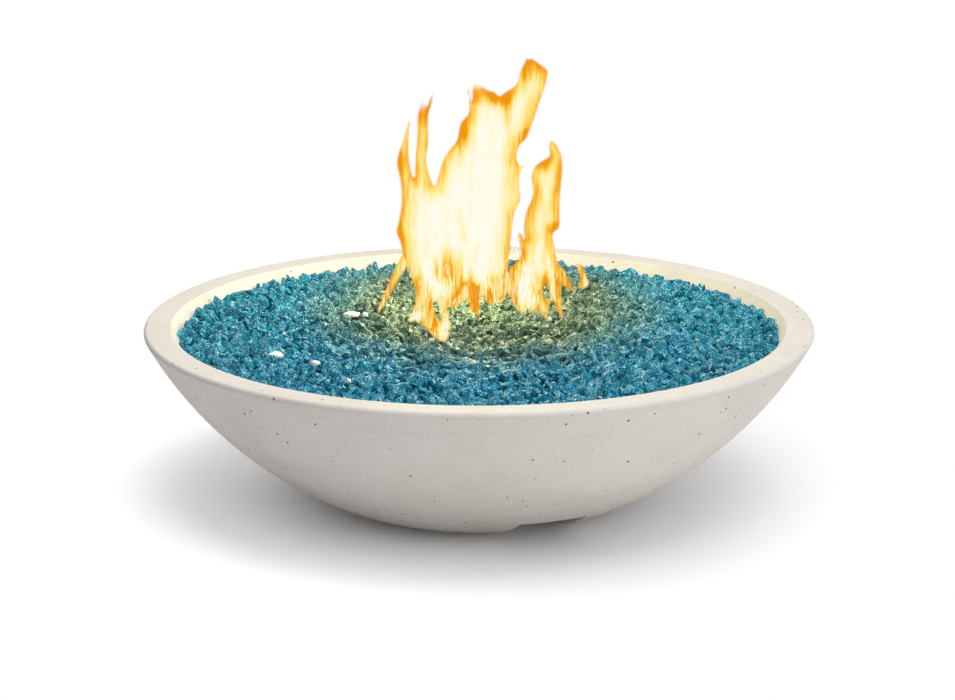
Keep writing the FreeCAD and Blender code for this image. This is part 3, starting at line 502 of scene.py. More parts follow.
@dataclass(frozen=True)
class Rubber:
    """Black rubber with a dusty bloom."""

    tone: Colour = rgb(34, 33, 33)
    bloom: Colour = rgb(74, 71, 68)
    dust: Grain = Grain(60.0, 4.0)
    roughness: Pair = (0.62, 0.2)
    moulding: Grain = Grain(800.0)
    relief: float = 0.0002

    def material(self) -> bpy.types.Material:
        """Return the finish as a material."""
        made, board = new_board("black_rubber")
        dust = board.grain(self.dust)
        share = dust.above(0.5, 0.8) * 0.7
        board.surface(
            {
                "Base Color": board.blend(self.tone, self.bloom, share),
                "Roughness": dust * self.roughness[1] + self.roughness[0],
                "Normal": board.bump(board.grain(self.moulding), self.relief),
            }
        )
        return made


def dress(frame: dict, names: tuple[str, ...], material: bpy.types.Material) -> None:
    """Give CAD nodes a material.

    Args:
        frame: The loaded frame.
        names: The nodes.
        material: Their finish.
    """
    for name in names:
        node = frame["nodes"][name]
        if not node.material_slots:
            node.data.materials.append(material)
        for place in node.material_slots:
            place.material = material
        LOG.info("dressed %s in %s", name, material.name)


def new_object(
    name: str, mesh: bpy.types.Mesh, material: bpy.types.Material | None = None
) -> bpy.types.Object:
    """Return a new object at the origin."""
    made = bpy.data.objects.new(name, mesh)
    bpy.context.scene.collection.objects.link(made)
    if material:
        mesh.materials.clear()
        mesh.materials.append(material)
    return made


def mesh_of(shape: bmesh.types.BMesh, name: str) -> bpy.types.Mesh:
    """Return an edited shape, which is freed, as a mesh."""
    mesh = bpy.data.meshes.new(name)
    shape.to_mesh(mesh)
    shape.free()
    return mesh


def settle(thing: bpy.types.Object) -> None:
    """Turn an object's modifiers into a plain mesh of its own."""
    view = bpy.context.evaluated_depsgraph_get()
    mesh = bpy.data.meshes.new_from_object(thing.evaluated_get(view))
    thing.modifiers.clear()
    thing.data = mesh


def place_piece(thing: bpy.types.Object, body: str) -> None:
    """Tie a finished piece to its body and log its triangle count."""
    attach(thing, body)
    faces = sum(len(face.vertices) - 2 for face in thing.data.polygons)
    LOG.info("built %s: %d triangles on %s", thing.name, faces, body)


@dataclass
class Bowl:
    """The cast bowl and its rubber feet."""

    shell: str = "bowl_shell"
    pads: str = "foot_pads"

    def dress(self, frame: dict, rubber: bpy.types.Material) -> None:
        """Give the bowl and its pads their finishes."""
        dress(frame, (self.shell,), Concrete().material())
        dress(frame, (self.pads,), rubber)


@dataclass
class GasTrain:
    """The pan, burner, mixer, valve, key, lines and inlet that the bowl carries."""

    stainless: tuple[str, ...] = (
        "burner_pan", "burner_ring_outer", "burner_ring_inner", "burner_spokes", "burner_hub",
        "burner_feet", "hub_washer", "hub_locknut",
    )
    zinc: tuple[str, ...] = ("pan_screws", "bracket_screws", "shutter_screw", "inlet_bracket")
    flex: tuple[str, ...] = ("burner_line", "supply_line")
    alloy: tuple[str, ...] = ("air_mixer", "air_shutter")
    brass: tuple[str, ...] = (
        "ledge_inserts", "floor_inserts", "burner_elbow", "orifice_spud", "burner_line_nut_mixer",
        "burner_line_nut_valve", "supply_line_nut_valve", "supply_line_nut_inlet", "valve_body",
        "valve_plug", "valve_bonnet", "inlet_union", "inlet_locknut",
    )
    chrome: tuple[str, ...] = (
        "key_escutcheon", "key_guide_tube", "key_guide_nut", "gas_key_shaft", "gas_key_handle",
    )
    seals: tuple[str, ...] = ("stem_seal", "key_grip_ring")

    def dress(self, frame: dict, rubber: bpy.types.Material) -> None:
        """Give every fitting its metal or rubber.

        Args:
            frame: The loaded frame.
            rubber: The seals' finish.
        """
        for names, metal in (
            (self.stainless, Metal.STAINLESS),
            (self.zinc, Metal.ZINC),
            (self.flex, Metal.FLEX),
            (self.alloy, Metal.ALLOY),
            (self.brass, Metal.BRASS),
            (self.chrome, Metal.CHROME),
        ):
            dress(frame, names, metal.value.material())
        dress(frame, self.seals, rubber)


@dataclass(frozen=True)
class ChunkLayer:
    """One layer of glass chunks scattered over the bed."""

    name: str
    seed: int
    spacing: float
    smallest: Triple
    largest: Triple
    ruggedness: float
    lift: float


@dataclass(frozen=True)
class ChunkScatter:
    """The node tree that scatters rough chunks over a surface."""

    inputs: tuple[tuple[str, str], ...] = (
        ("Geometry", "Geometry"),
        ("Spacing", "Float"),
        ("Smallest", "Vector"),
        ("Largest", "Vector"),
        ("Ruggedness", "Float"),
        ("Seed", "Int"),
        ("Finish", "Material"),
    )
    densest: float = 60000.0
    whole_turn: float = 6.283

    @staticmethod
    def _any(board: Board, low: Feed, high: Feed, seed: int) -> Signal:
        """Return a random vector between two others for each element."""
        feeds = {0: low, 1: high, "Seed": seed}
        return board.add("FunctionNodeRandomValue", {"data_type": "FLOAT_VECTOR"}, feeds)

    @staticmethod
    def _chance(board: Board, seed: int) -> Signal:
        """Return a random value between 0 and 1 for each element."""
        feeds = {2: 0.0, 3: 1.0, "Seed": seed}
        return board.add("FunctionNodeRandomValue", {"data_type": "FLOAT"}, feeds, out=1)

    @staticmethod
    def _store(board: Board, shape: Signal, name: str, value: Signal, domain: str) -> Signal:
        """Return a shape with a value stored under a name on each element of a domain."""
        feeds = {"Geometry": shape, "Name": name, "Value": value}
        settings = {"data_type": "FLOAT", "domain": domain}
        return board.add("GeometryNodeStoreNamedAttribute", settings, feeds)

    def _spread(self, board: Board, given: Signal) -> Signal:
        """Return chunks of random size and turn over the surface, still as instances."""
        points = board.add(
            "GeometryNodeDistributePointsOnFaces",
            {"distribute_method": "POISSON"},
            {
                "Mesh": given.output("Geometry"),
                "Distance Min": given.output("Spacing"),
                "Density Max": self.densest,
                "Seed": given.output("Seed"),
            },
        )
        chunk = board.add("GeometryNodeMeshIcoSphere", {}, {"Radius": 1.0, "Subdivisions": 1})
        smallest, largest = given.output("Smallest"), given.output("Largest")
        feeds = {
            "Points": points,
            "Instance": chunk,
            "Rotation": self._any(board, (0.0,) * 3, (self.whole_turn,) * 3, 3),
            "Scale": self._any(board, smallest, largest, 5),
        }
        return board.add("GeometryNodeInstanceOnPoints", {}, feeds)

    def tree(self) -> bpy.types.GeometryNodeTree:
        """Return the tree, with a named input for each size."""
        tree = bpy.data.node_groups.new("glass_scatter", "GeometryNodeTree")
        board = Board(tree)
        for name, kind in self.inputs:
            tree.interface.new_socket(name=name, in_out="INPUT", socket_type="NodeSocket" + kind)
        tree.interface.new_socket(
            name="Geometry", in_out="OUTPUT", socket_type="NodeSocketGeometry"
        )
        given = board.add("NodeGroupInput")
        lump = self._chance(board, 7)
        toned = self._store(board, self._spread(board, given), "lump", lump, "INSTANCE")
        # Each chunk's seat height, which the glass reads to paint shade low between the chunks.
        level = board.along(board.add("GeometryNodeInputPosition"), "Z")
        seated = self._store(board, toned, "seat", level, "INSTANCE")
        real = board.add("GeometryNodeRealizeInstances", {}, {"Geometry": seated})
        push = self._any(board, (-1.0,) * 3, (1.0,) * 3, 9)
        feeds = {0: push, "Scale": given.output("Ruggedness")}
        offset = board.add("ShaderNodeVectorMath", {"operation": "SCALE"}, feeds)
        rough = board.add("GeometryNodeSetPosition", {}, {"Geometry": real, "Offset": offset})
        faces = self._store(board, rough, "facet", self._chance(board, 13), "FACE")
        feeds = {"Geometry": faces, "Shade Smooth": False}
        flat = board.add("GeometryNodeSetShadeSmooth", {}, feeds)
        feeds = {"Geometry": flat, "Material": given.output("Finish")}
        dressed = board.add("GeometryNodeSetMaterial", {}, feeds)
        board.add("NodeGroupOutput", {}, {"Geometry": dressed})
        return tree


@dataclass
class GlassBed:
    """The crushed glass: a lumpy bed, the chunks on it and a few white chips.

    A chip is its place across and back, and its half width and half depth.
    """

    top_solid: str = "fire_glass_top"
    fill_solid: str = "fire_glass_fill"
    radius: float = 0.3645
    sink: float = 0.004
    edge_height: float = 0.2065
    seat: float = 0.188
    foot_taper: float = 0.985
    rings: int = 58
    steps: int = 168
    bed_tone: float = 0.2
    gap_shade_lift: float = -0.3
    inset: float = 0.18
    layers: tuple[ChunkLayer, ...] = (
        ChunkLayer(
            name="fire_glass_low",
            seed=11,
            spacing=0.0066,
            smallest=(0.0034, 0.0028, 0.002),
            largest=(0.0085, 0.0062, 0.0052),
            ruggedness=0.0018,
            lift=0.0006,
        ),
        ChunkLayer(
            name="fire_glass_high",
            seed=29,
            spacing=0.0086,
            smallest=(0.0045, 0.0035, 0.0026),
            largest=(0.016, 0.0105, 0.007),
            ruggedness=0.0016,
            lift=0.003,
        ),
    )
    chips: tuple[tuple[float, float, float, float], ...] = (
        (-0.237, -0.148, 0.0105, 0.012),
        (-0.158, 0.045, 0.014, 0.009),
        (-0.141, 0.04, 0.005, 0.005),
        (-0.094, 0.056, 0.004, 0.002),
        (-0.189, -0.183, 0.0066, 0.006),
        (-0.147, -0.25, 0.0034, 0.0034),
        (-0.235, -0.047, 0.0032, 0.002),
        (0.086, 0.012, 0.0036, 0.0024),
        (0.118, -0.122, 0.0032, 0.0022),
    )
    chip_corners: int = 7
    chip_rise: float = 0.0135
    chip_tilt: float = 0.0012
    chip_depth: float = 0.003
    surface: BVHTree | None = None

    def height(self, x: float, y: float) -> float:
        """Return the bed's height at a point: a little under the solid's own surface."""
        found = self.surface.ray_cast(Vector((x, y, 1.0)), Vector((0, 0, -1)))[0]
        return max(self.edge_height, found.z if found else 0.0) - self.sink

    def build(self, frame: dict) -> None:
        """Build the bed, its chunks and its chips.

        Args:
            frame: The loaded frame, which has the solid that the bed follows.
        """
        dress(frame, (self.fill_solid,), CrushedGlass(name="packed_glass").material())
        solid = frame["nodes"][self.top_solid].data
        self.surface = BVHTree.FromPolygons(
            [vertex.co for vertex in solid.vertices],
            [tuple(face.vertices) for face in solid.polygons],
        )
        glass = CrushedGlass().material()
        # The bed is seen only between the chunks, so its darker glass is painted shade in those
        # gaps.
        gap_shaded = CrushedGlass(name="gap_shaded_glass", lift=self.gap_shade_lift).material()
        bed = new_object("fire_glass_bed", self._bed_mesh(), gap_shaded)
        place_piece(bed, "root")
        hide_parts("fire_glass_top")
        tree = ChunkScatter().tree()
        for layer in self.layers:
            self._layer(tree, layer, glass)
        chips = new_object("fire_glass_chips", self._chip_mesh(), WhiteChip().material())
        place_piece(chips, "root")

    def _top(self, shape: bmesh.types.BMesh, reach: float) -> list[list[bmesh.types.BMVert]]:
        """Add the bed's upper surface as rings of points round a middle one."""
        middle = shape.verts.new((0, 0, self.height(0, 0)))
        rows: list[list[bmesh.types.BMVert]] = [[middle]]
        for ring in range(1, self.rings + 1):
            row = []
            for step in range(self.steps):
                angle = 2 * math.pi * step / self.steps
                x = reach * ring / self.rings * math.cos(angle)
                y = reach * ring / self.rings * math.sin(angle)
                row.append(shape.verts.new((x, y, self.height(x, y))))
            rows.append(row)
        for step in range(self.steps):
            after = (step + 1) % self.steps
            shape.faces.new((middle, rows[1][step], rows[1][after]))
            for low, high in zip(rows[1:], rows[2:]):
                shape.faces.new((low[step], high[step], high[after], low[after]))
        return rows

    def _bed_mesh(self) -> bpy.types.Mesh:
        """Return the bed as a closed mesh down to the glass below it."""
        shape = bmesh.new()
        rim = self._top(shape, self.radius)[-1]
        taper = self.foot_taper
        foot = [shape.verts.new((v.co.x * taper, v.co.y * taper, self.seat)) for v in rim]
        centre = shape.verts.new((0, 0, self.seat))
        for step in range(self.steps):
            after = (step + 1) % self.steps
            shape.faces.new((rim[step], foot[step], foot[after], rim[after]))
            shape.faces.new((foot[after], foot[step], centre))
        mesh = mesh_of(shape, "fire_glass_bed")
        facet = mesh.attributes.new("facet", "FLOAT", "FACE")
        tones = [noise.random() * self.bed_tone for _ in mesh.polygons]
        facet.data.foreach_set("value", tones)
        return mesh

    def _layer(
        self, tree: bpy.types.GeometryNodeTree, layer: ChunkLayer, glass: bpy.types.Material
    ) -> None:
        """Build one layer of chunks as a plain mesh.

        Args:
            tree: The scatter tree.
            layer: The layer's sizes and seed.
            glass: The chunks' finish.
        """
        shape = bmesh.new()
        self._top(shape, self.radius - layer.largest[0] * self.inset)
        bmesh.ops.translate(shape, verts=shape.verts, vec=(0, 0, layer.lift))
        thing = new_object(layer.name, mesh_of(shape, layer.name))
        modifier = thing.modifiers.new("scatter", "NODES")
        modifier.node_group = tree
        values = {
            "Spacing": layer.spacing,
            "Smallest": layer.smallest,
            "Largest": layer.largest,
            "Ruggedness": layer.ruggedness,
            "Seed": layer.seed,
            "Finish": glass,
        }
        for item in tree.interface.items_tree:
            if item.name in values:
                modifier[item.identifier] = values[item.name]
        settle(thing)
        place_piece(thing, "root")

    def _chip_outline(self, index: int) -> list[Pair]:
        """Return the uneven outline of a chip."""
        x, y, half, breadth = self.chips[index]
        corners = []
        for step in range(self.chip_corners):
            shift = 0.35 * noise.noise(Vector((index * 3.1, step * 1.7, 0.5)))
            angle = 2 * math.pi * (step + shift) / self.chip_corners
            reach = 0.86 + 0.3 * noise.noise(Vector((index * 5.3, step * 2.9, 4.0)))
            corners.append(
                (x + half * reach * math.cos(angle), y + breadth * reach * math.sin(angle))
            )
        return corners

    def _chip_mesh(self) -> bpy.types.Mesh:
        """Return the white chips: flat uneven flakes that lie on the chunks."""
        shape = bmesh.new()
        for index, (x, y, _, _) in enumerate(self.chips):
            top = self.height(x, y) + self.chip_rise
            corners = self._chip_outline(index)
            upper = [
                shape.verts.new((cx, cy, top + self.chip_tilt * (step % 3 - 1)))
                for step, (cx, cy) in enumerate(corners)
            ]
            lower = [shape.verts.new((cx, cy, top - self.chip_depth)) for cx, cy in corners]
            shape.faces.new(upper)
            shape.faces.new(lower[::-1])
            for step in range(self.chip_corners):
                after = (step + 1) % self.chip_corners
                shape.faces.new((upper[step], lower[step], lower[after], upper[after]))
        return mesh_of(shape, "fire_glass_chips")


@dataclass(frozen=True)
class FlameGlow:
    """Burning gas: cream inside, yellow and then orange at the edges, torn at its foot."""

    stops: Stops = (
        (0.0, rgb(240, 152, 18)),
        (0.12, rgb(250, 176, 42)),
        (0.24, rgb(254, 202, 80)),
        (0.4, rgb(255, 228, 130)),
        (0.58, rgb(255, 241, 176)),
        (0.78, rgb(255, 248, 210)),
        (1.0, rgb(255, 252, 236)),
    )
    wide: Grain = Grain(1.0, 2.0, 0.5)
    wide_stretch: Triple = (7.0, 1.1, 3.0)
    narrow: Grain = Grain(1.0, 2.0, 1.1)
    narrow_stretch: Triple = (17.0, 2.3, 7.0)
    unrest: Pair = (0.9, 0.7)

    def material(self) -> bpy.types.Material:
        """Return the finish as a material."""
        made, board = new_board("flame_glow")
        flow = board.attribute("flow", "Vector")
        wide = board.grain(self.wide, board.stretched(self.wide_stretch, flow))
        narrow = board.grain(self.narrow, board.stretched(self.narrow_stretch, flow))
        foot = board.along(flow, "Y").above(2.3, 2.9)
        ripple = (wide - NOISE_MEAN) * 0.9 + (narrow - NOISE_MEAN) * 0.8
        tone = board.attribute("core") + ripple * (foot * self.unrest[1] + self.unrest[0])
        tone = tone - narrow.line(0.07) * foot * 0.4
        tone = tone + foot * 0.2
        torn = 1 - foot * (1 - narrow.above(0.28, 0.48)) * 0.6
        board.surface(
            {
                "Base Color": BLACK,
                "Specular IOR Level": 0.0,
                "Roughness": 1.0,
                "Emission Color": board.ramp(tone, self.stops),
                "Emission Strength": 1.0,
                "Alpha": board.attribute("veil") * torn,
            }
        )
        return made


@dataclass(frozen=True)
class Sheet:
    """One sheet of flame, drawn in the picture's own points: across and down.

    A cool or faint spot is across, down, half width, half height and how much it takes away.
    """

    name: str
    depth: float
    turn: float
    outline: Loop
    gaps: tuple[Loop, ...] = ()
    cool: tuple[Spot, ...] = ()
    faint: tuple[Spot, ...] = ()


FLAME_SHEETS = (
    Sheet(
        name="flame_body",
        depth=62,
        turn=0,
        outline=(
            (407, 318), (414, 306), (416, 292), (410, 274), (403, 258), (401, 244), (396, 232),
            (399, 222), (402, 206), (402, 190), (400, 178), (397, 166), (399, 156), (404, 144),
            (408, 130), (413, 114), (411, 132), (410, 150), (411, 166), (415, 182), (416, 160),
            (418, 138), (418, 122), (421, 102), (425, 98), (427, 112), (432, 100), (438, 88),
            (434, 106), (429, 122), (430, 146), (427, 160), (429, 172), (435, 189), (439, 176),
            (442, 164), (449, 152), (457, 144), (460, 126), (469, 117), (469, 104), (466, 88),
            (464, 76), (469, 90), (472, 108), (472, 87), (479, 88), (487, 94), (495, 96),
            (499, 101), (505, 96), (516, 90), (520, 74), (524, 68), (524, 56), (526, 66), (530, 64),
            (540, 71), (548, 77), (544, 92), (537, 112), (531, 130), (526, 142), (518, 150),
            (516, 160), (519, 168), (525, 165), (519, 176), (519, 190), (521, 200), (514, 214),
            (512, 232), (510, 254), (507, 276), (500, 280), (496, 290), (493, 306), (486, 303),
            (483, 288), (480, 300), (480, 324), (476, 312), (471, 314), (468, 300), (466, 284),
            (461, 294), (452, 302), (449, 316), (452, 332), (446, 344), (437, 341), (429, 333),
            (421, 323), (414, 321), (408, 323),
        ),
        gaps=(
            ((433, 303), (436, 300), (440, 310), (441, 322), (436, 314)),
            ((446, 262), (449, 266), (449, 276)),
        ),
        cool=(
            (490, 100, 26, 13, 0.6), (530, 74, 18, 16, 0.62), (506, 114, 7, 24, 0.8),
            (524, 140, 9, 10, 0.5), (463, 130, 8, 14, 0.5), (466, 140, 5, 12, 0.4),
            (425, 112, 9, 22, 0.4), (404, 166, 7, 14, 0.4), (414, 317, 11, 7, -0.7),
            (436, 300, 6, 26, -0.5), (446, 330, 6, 16, -0.4), (476, 268, 6, 30, 0.35),
            (458, 218, 8, 16, 0.55), (465, 236, 4, 12, 0.4), (426, 252, 6, 14, 0.4),
            (456, 284, 9, 26, 0.6), (437, 272, 5, 14, 0.5), (418, 286, 6, 14, 0.5),
            (476, 296, 4, 22, 0.5), (490, 284, 5, 16, 0.5), (503, 262, 4, 26, 0.4),
            (432, 320, 9, 16, 0.6), (450, 306, 9, 10, 0.5), (400, 238, 6, 16, 0.4),
        ),
        faint=(
            (423, 98, 9, 22, 1.0), (436, 92, 6, 18, 0.8), (465, 82, 5, 26, 0.9),
            (478, 86, 9, 9, 0.8), (492, 93, 26, 7, 0.45), (524, 58, 4, 10, 0.7),
            (412, 114, 4, 12, 0.6),
        ),
    ),
    Sheet(
        name="flame_right",
        depth=84,
        turn=0,
        outline=(
            (548, 322), (541, 314), (535, 309), (528, 313), (518, 312), (512, 302), (506, 290),
            (508, 268), (516, 262), (521, 254), (518, 240), (517, 232), (522, 233), (524, 240),
            (523, 226), (525, 212), (531, 200), (532, 190), (530, 178), (533, 168), (541, 162),
            (549, 158), (547, 149), (550, 142), (556, 148), (561, 158), (562, 172), (560, 192),
            (559, 210), (560, 228), (552, 234), (554, 246), (557, 262), (565, 270), (571, 284),
            (577, 292), (568, 289), (561, 283), (562, 300), (564, 322), (557, 312), (553, 298),
            (549, 306),
        ),
        gaps=(
            ((544, 282), (548, 288), (550, 298), (546, 300), (543, 292)),
        ),
        cool=(
            (544, 164, 12, 16, 0.62), (553, 228, 9, 8, 0.6), (520, 256, 6, 10, 0.6),
            (546, 288, 5, 22, 0.7), (556, 280, 4, 18, 0.5), (568, 282, 8, 12, 0.7),
            (514, 300, 8, 8, 0.4), (548, 196, 4, 26, 0.25),
        ),
    ),
    Sheet(
        name="flame_lick",
        depth=170,
        turn=0,
        outline=(
            (575, 261), (582, 263), (586, 272), (590, 283), (584, 288), (577, 286), (581, 280),
            (578, 270),
        ),
    ),
    Sheet(
        name="flame_stroke",
        depth=40,
        turn=0,
        outline=(
            (403, 252), (410, 262), (402, 276), (393, 290), (386, 304), (375, 318), (380, 302),
            (388, 284), (396, 266),
        ),
    ),
    Sheet(
        name="flame_across",
        depth=152,
        turn=62,
        outline=(
            (416, 330), (420, 296), (414, 272), (420, 246), (430, 222), (432, 204), (438, 218),
            (446, 206), (456, 188), (463, 166), (468, 184), (477, 196), (486, 174), (492, 158),
            (496, 184), (504, 206), (512, 196), (516, 218), (524, 244), (528, 272), (522, 296),
            (528, 330), (508, 322), (496, 330), (478, 322), (460, 330), (440, 322),
        ),
    ),
    Sheet(
        name="flame_behind",
        depth=150,
        turn=-62,
        outline=(
            (420, 330), (414, 300), (422, 276), (424, 256), (434, 240), (436, 218), (444, 232),
            (454, 206), (466, 188), (474, 170), (480, 190), (488, 204), (498, 188), (504, 216),
            (514, 232), (518, 226), (524, 250), (520, 278), (530, 300), (526, 330), (506, 324),
            (484, 330), (462, 322), (442, 330),
        ),
    ),
)


@dataclass
class Flame:
    """The flame: thin glowing bodies with soft edges. It isn't a piece of the object.

    The rim's height is in metres, swells and sway in millimetres and the rest in picture points.
    """

    sheets: tuple[Sheet, ...] = FLAME_SHEETS
    pitch: float = math.radians(15.09)
    rim: float = 0.222
    middle: Pair = (479.0, 319.4)
    points_per_mm: float = 0.8193
    camera_distance: float = 3147.6
    cell: float = 1.5
    fattest: float = 24.0
    foot: float = 2.6
    sway: float = 62.0
    sway_lengths: Triple = (30.0, 48.0, 9.0)
    flow_lengths: Triple = (100.0, 100.0, 50.0)
    edge_heat: float = 0.1
    heat_rise: float = 0.85
    hot_reach: float = 20.0
    cool_share: float = 0.58
    soft_edge: float = 2.2
    corner_cut: float = 0.2
    corner_cuts: int = 2
    edge_step: float = 0.5

    def build(self) -> None:
        """Build the flame's bodies as a stage effect."""
        gas = FlameGlow().material()
        for sheet in self.sheets:
            thing = new_object(sheet.name, self._body(sheet), gas)
            thing.visible_diffuse = False
            thing.visible_shadow = False
            thing.visible_glossy = False
            LOG.info("built %s: %d faces on the stage", sheet.name, len(thing.data.polygons))

    def _point(self, sheet: Sheet, across: float, down: float, swell: float) -> Vector:
        """Return the place of a picture point on a sheet.

        Args:
            sheet: The sheet, with its depth and its turn round the upright.
            across: The point's place across the picture.
            down: The point's place down the picture.
            swell: How far in front of the sheet's middle it lies, in millimetres.

        Returns:
            The place in metres.
        """
        up = (self.middle[1] - down) / self.points_per_mm
        right = (across - self.middle[0]) / self.points_per_mm
        if sheet.turn:
            swing = math.radians(sheet.turn)
            along = right * math.cos(swing) - swell * math.sin(swing)
            depth = sheet.depth + right * math.sin(swing) + swell * math.cos(swing)
            return Vector((along * MILLI, depth * MILLI, self.rim + up * MILLI))
        lengths = zip((across, down, sheet.depth), self.sway_lengths)
        wave = self.sway * noise.noise(Vector([value / length for value, length in lengths]))
        depth = min(sheet.depth + wave, (up + self.foot) / math.sin(self.pitch)) - swell
        nearer = 1 + depth * math.cos(self.pitch) / self.camera_distance
        height = (up * nearer - depth * math.sin(self.pitch)) / math.cos(self.pitch)
        return Vector((right * nearer * MILLI, depth * MILLI, self.rim + height * MILLI))

    def _body(self, sheet: Sheet) -> bpy.types.Mesh:
        """Return one sheet as a closed lens-shaped mesh with its heat and its veil."""
        loops = [self._rounded(loop) for loop in (sheet.outline, *sheet.gaps)]
        start = [min(point[axis] for point in loops[0]) - self.cell for axis in (0, 1)]
        reach = self._reaches(loops, start)
        shape = bmesh.new()
        for name in ("core", "veil"):
            shape.verts.layers.float.new(name)
        shape.verts.layers.float_vector.new("flow")
        core, veil = (shape.verts.layers.float[name] for name in ("core", "veil"))
        flow = shape.verts.layers.float_vector["flow"]
        skins: list[dict[tuple[int, int], bmesh.types.BMVert]] = [{}, {}]

        def corner(side: int, key: tuple[int, int]) -> bmesh.types.BMVert:
            """Return a skin's point, made when it is first asked for."""
            inner = max(0.0, reach[key])
            side = side if inner else 0
            if key not in skins[side]:
                across, down = (start[axis] + key[axis] * self.cell for axis in (0, 1))
                thick = self.fattest * math.sin(min(1.0, inner / self.fattest) * math.pi / 2)
                point = shape.verts.new(self._point(sheet, across, down, thick * (1 - 2 * side)))
                point[core], point[veil] = self._glow(sheet, across, down, reach[key])
                along, below, behind = self.flow_lengths
                point[flow] = (across / along, down / below, side + sheet.depth / behind)
                skins[side][key] = point
            return skins[side][key]

        for column, row in reach:
            keys = [(column, row), (column + 1, row), (column + 1, row + 1), (column, row + 1)]
            if keys[2] in reach and max(reach[key] for key in keys) > 0:
                shape.faces.new([corner(0, key) for key in keys][::-1])
                shape.faces.new([corner(1, key) for key in keys])
        return mesh_of(shape, sheet.name)

    def _reaches(self, loops: list[list[Pair]], start: list[float]) -> dict[tuple[int, int], float]:
        """Return how far inside the loops the places of a grid are."""
        edge = self._edge_tree(loops)
        ends = [max(point[axis] for point in loops[0]) + 2 * self.cell for axis in (0, 1)]
        columns, rows = (int((ends[axis] - start[axis]) / self.cell) + 1 for axis in (0, 1))
        found = {}
        for row in range(rows):
            down = start[1] + row * self.cell
            crossings = self._crossings(loops, down)
            for column in range(columns):
                across = start[0] + column * self.cell
                away = edge.find((across, down, 0.0))[2]
                inside = sum(place < across for place in crossings) % 2
                found[column, row] = away if inside else -away
        return found

    def _glow(self, sheet: Sheet, across: float, down: float, reach: float) -> Pair:
        """Return how hot and how dense a sheet is."""

        def share(spot: Spot) -> float:
            """Return how much a spot takes away here."""
            at, level, half, tall, drop = spot
            return drop * max(0.0, 1 - math.hypot((across - at) / half, (down - level) / tall) ** 2)

        heat = self.edge_heat + min(1.0, max(0.0, reach) / self.hot_reach) * self.heat_rise
        heat -= sum(share(spot) for spot in sheet.cool) * self.cool_share
        veil = min(1.0, max(0.0, reach / self.soft_edge))
        for spot in sheet.faint:
            veil *= 1 - share(spot)
        return heat, veil * veil * (3 - 2 * veil)

    def _rounded(self, loop: Loop) -> list[Pair]:
        """Return a loop with its corners cut."""
        points = list(loop)
        far, near = 1 - self.corner_cut, self.corner_cut
        for _ in range(self.corner_cuts):
            cut = []
            for (ax, ay), (bx, by) in zip(points, points[1:] + points[:1]):
                cut.append((ax * far + bx * near, ay * far + by * near))
                cut.append((ax * near + bx * far, ay * near + by * far))
            points = cut
        return points

    def _edge_tree(self, loops: list[list[Pair]]) -> KDTree:
        """Return a search tree of points set closely along the loops."""
        places = []
        for loop in loops:
            for (ax, ay), (bx, by) in zip(loop, loop[1:] + loop[:1]):
                steps = max(1, int(math.hypot(bx - ax, by - ay) / self.edge_step))
                for step in range(steps):
                    share = step / steps
                    places.append((ax + (bx - ax) * share, ay + (by - ay) * share, 0.0))
        tree = KDTree(len(places))
        for index, place in enumerate(places):
            tree.insert(place, index)
        tree.balance()
        return tree

    @staticmethod
    def _crossings(loops: list[list[Pair]], down: float) -> list[float]:
        """Return where the loops cross a level line."""
        found = []
        for loop in loops:
            for (ax, ay), (bx, by) in zip(loop, loop[1:] + loop[:1]):
                if (ay > down) != (by > down):
                    found.append(ax + (down - ay) * (bx - ax) / (by - ay))
        return found


@dataclass(frozen=True)
class Lamp:
    """One soft lamp that looks at the bowl."""

    name: str
    place: Triple
    size: float
    power: float
    target: Triple = (0.0, 0.0, 0.15)

    def hang(self) -> None:
        """Hang the lamp in the scene."""
        data = bpy.data.lights.new(self.name, "AREA")
        data.energy = self.power
        data.size = self.size
        lamp = bpy.data.objects.new(self.name, data)
        lamp.location = self.place
        look = Vector(self.target) - Vector(self.place)
        lamp.rotation_euler = look.to_track_quat("-Z", "Y").to_euler()
        bpy.context.scene.collection.objects.link(lamp)


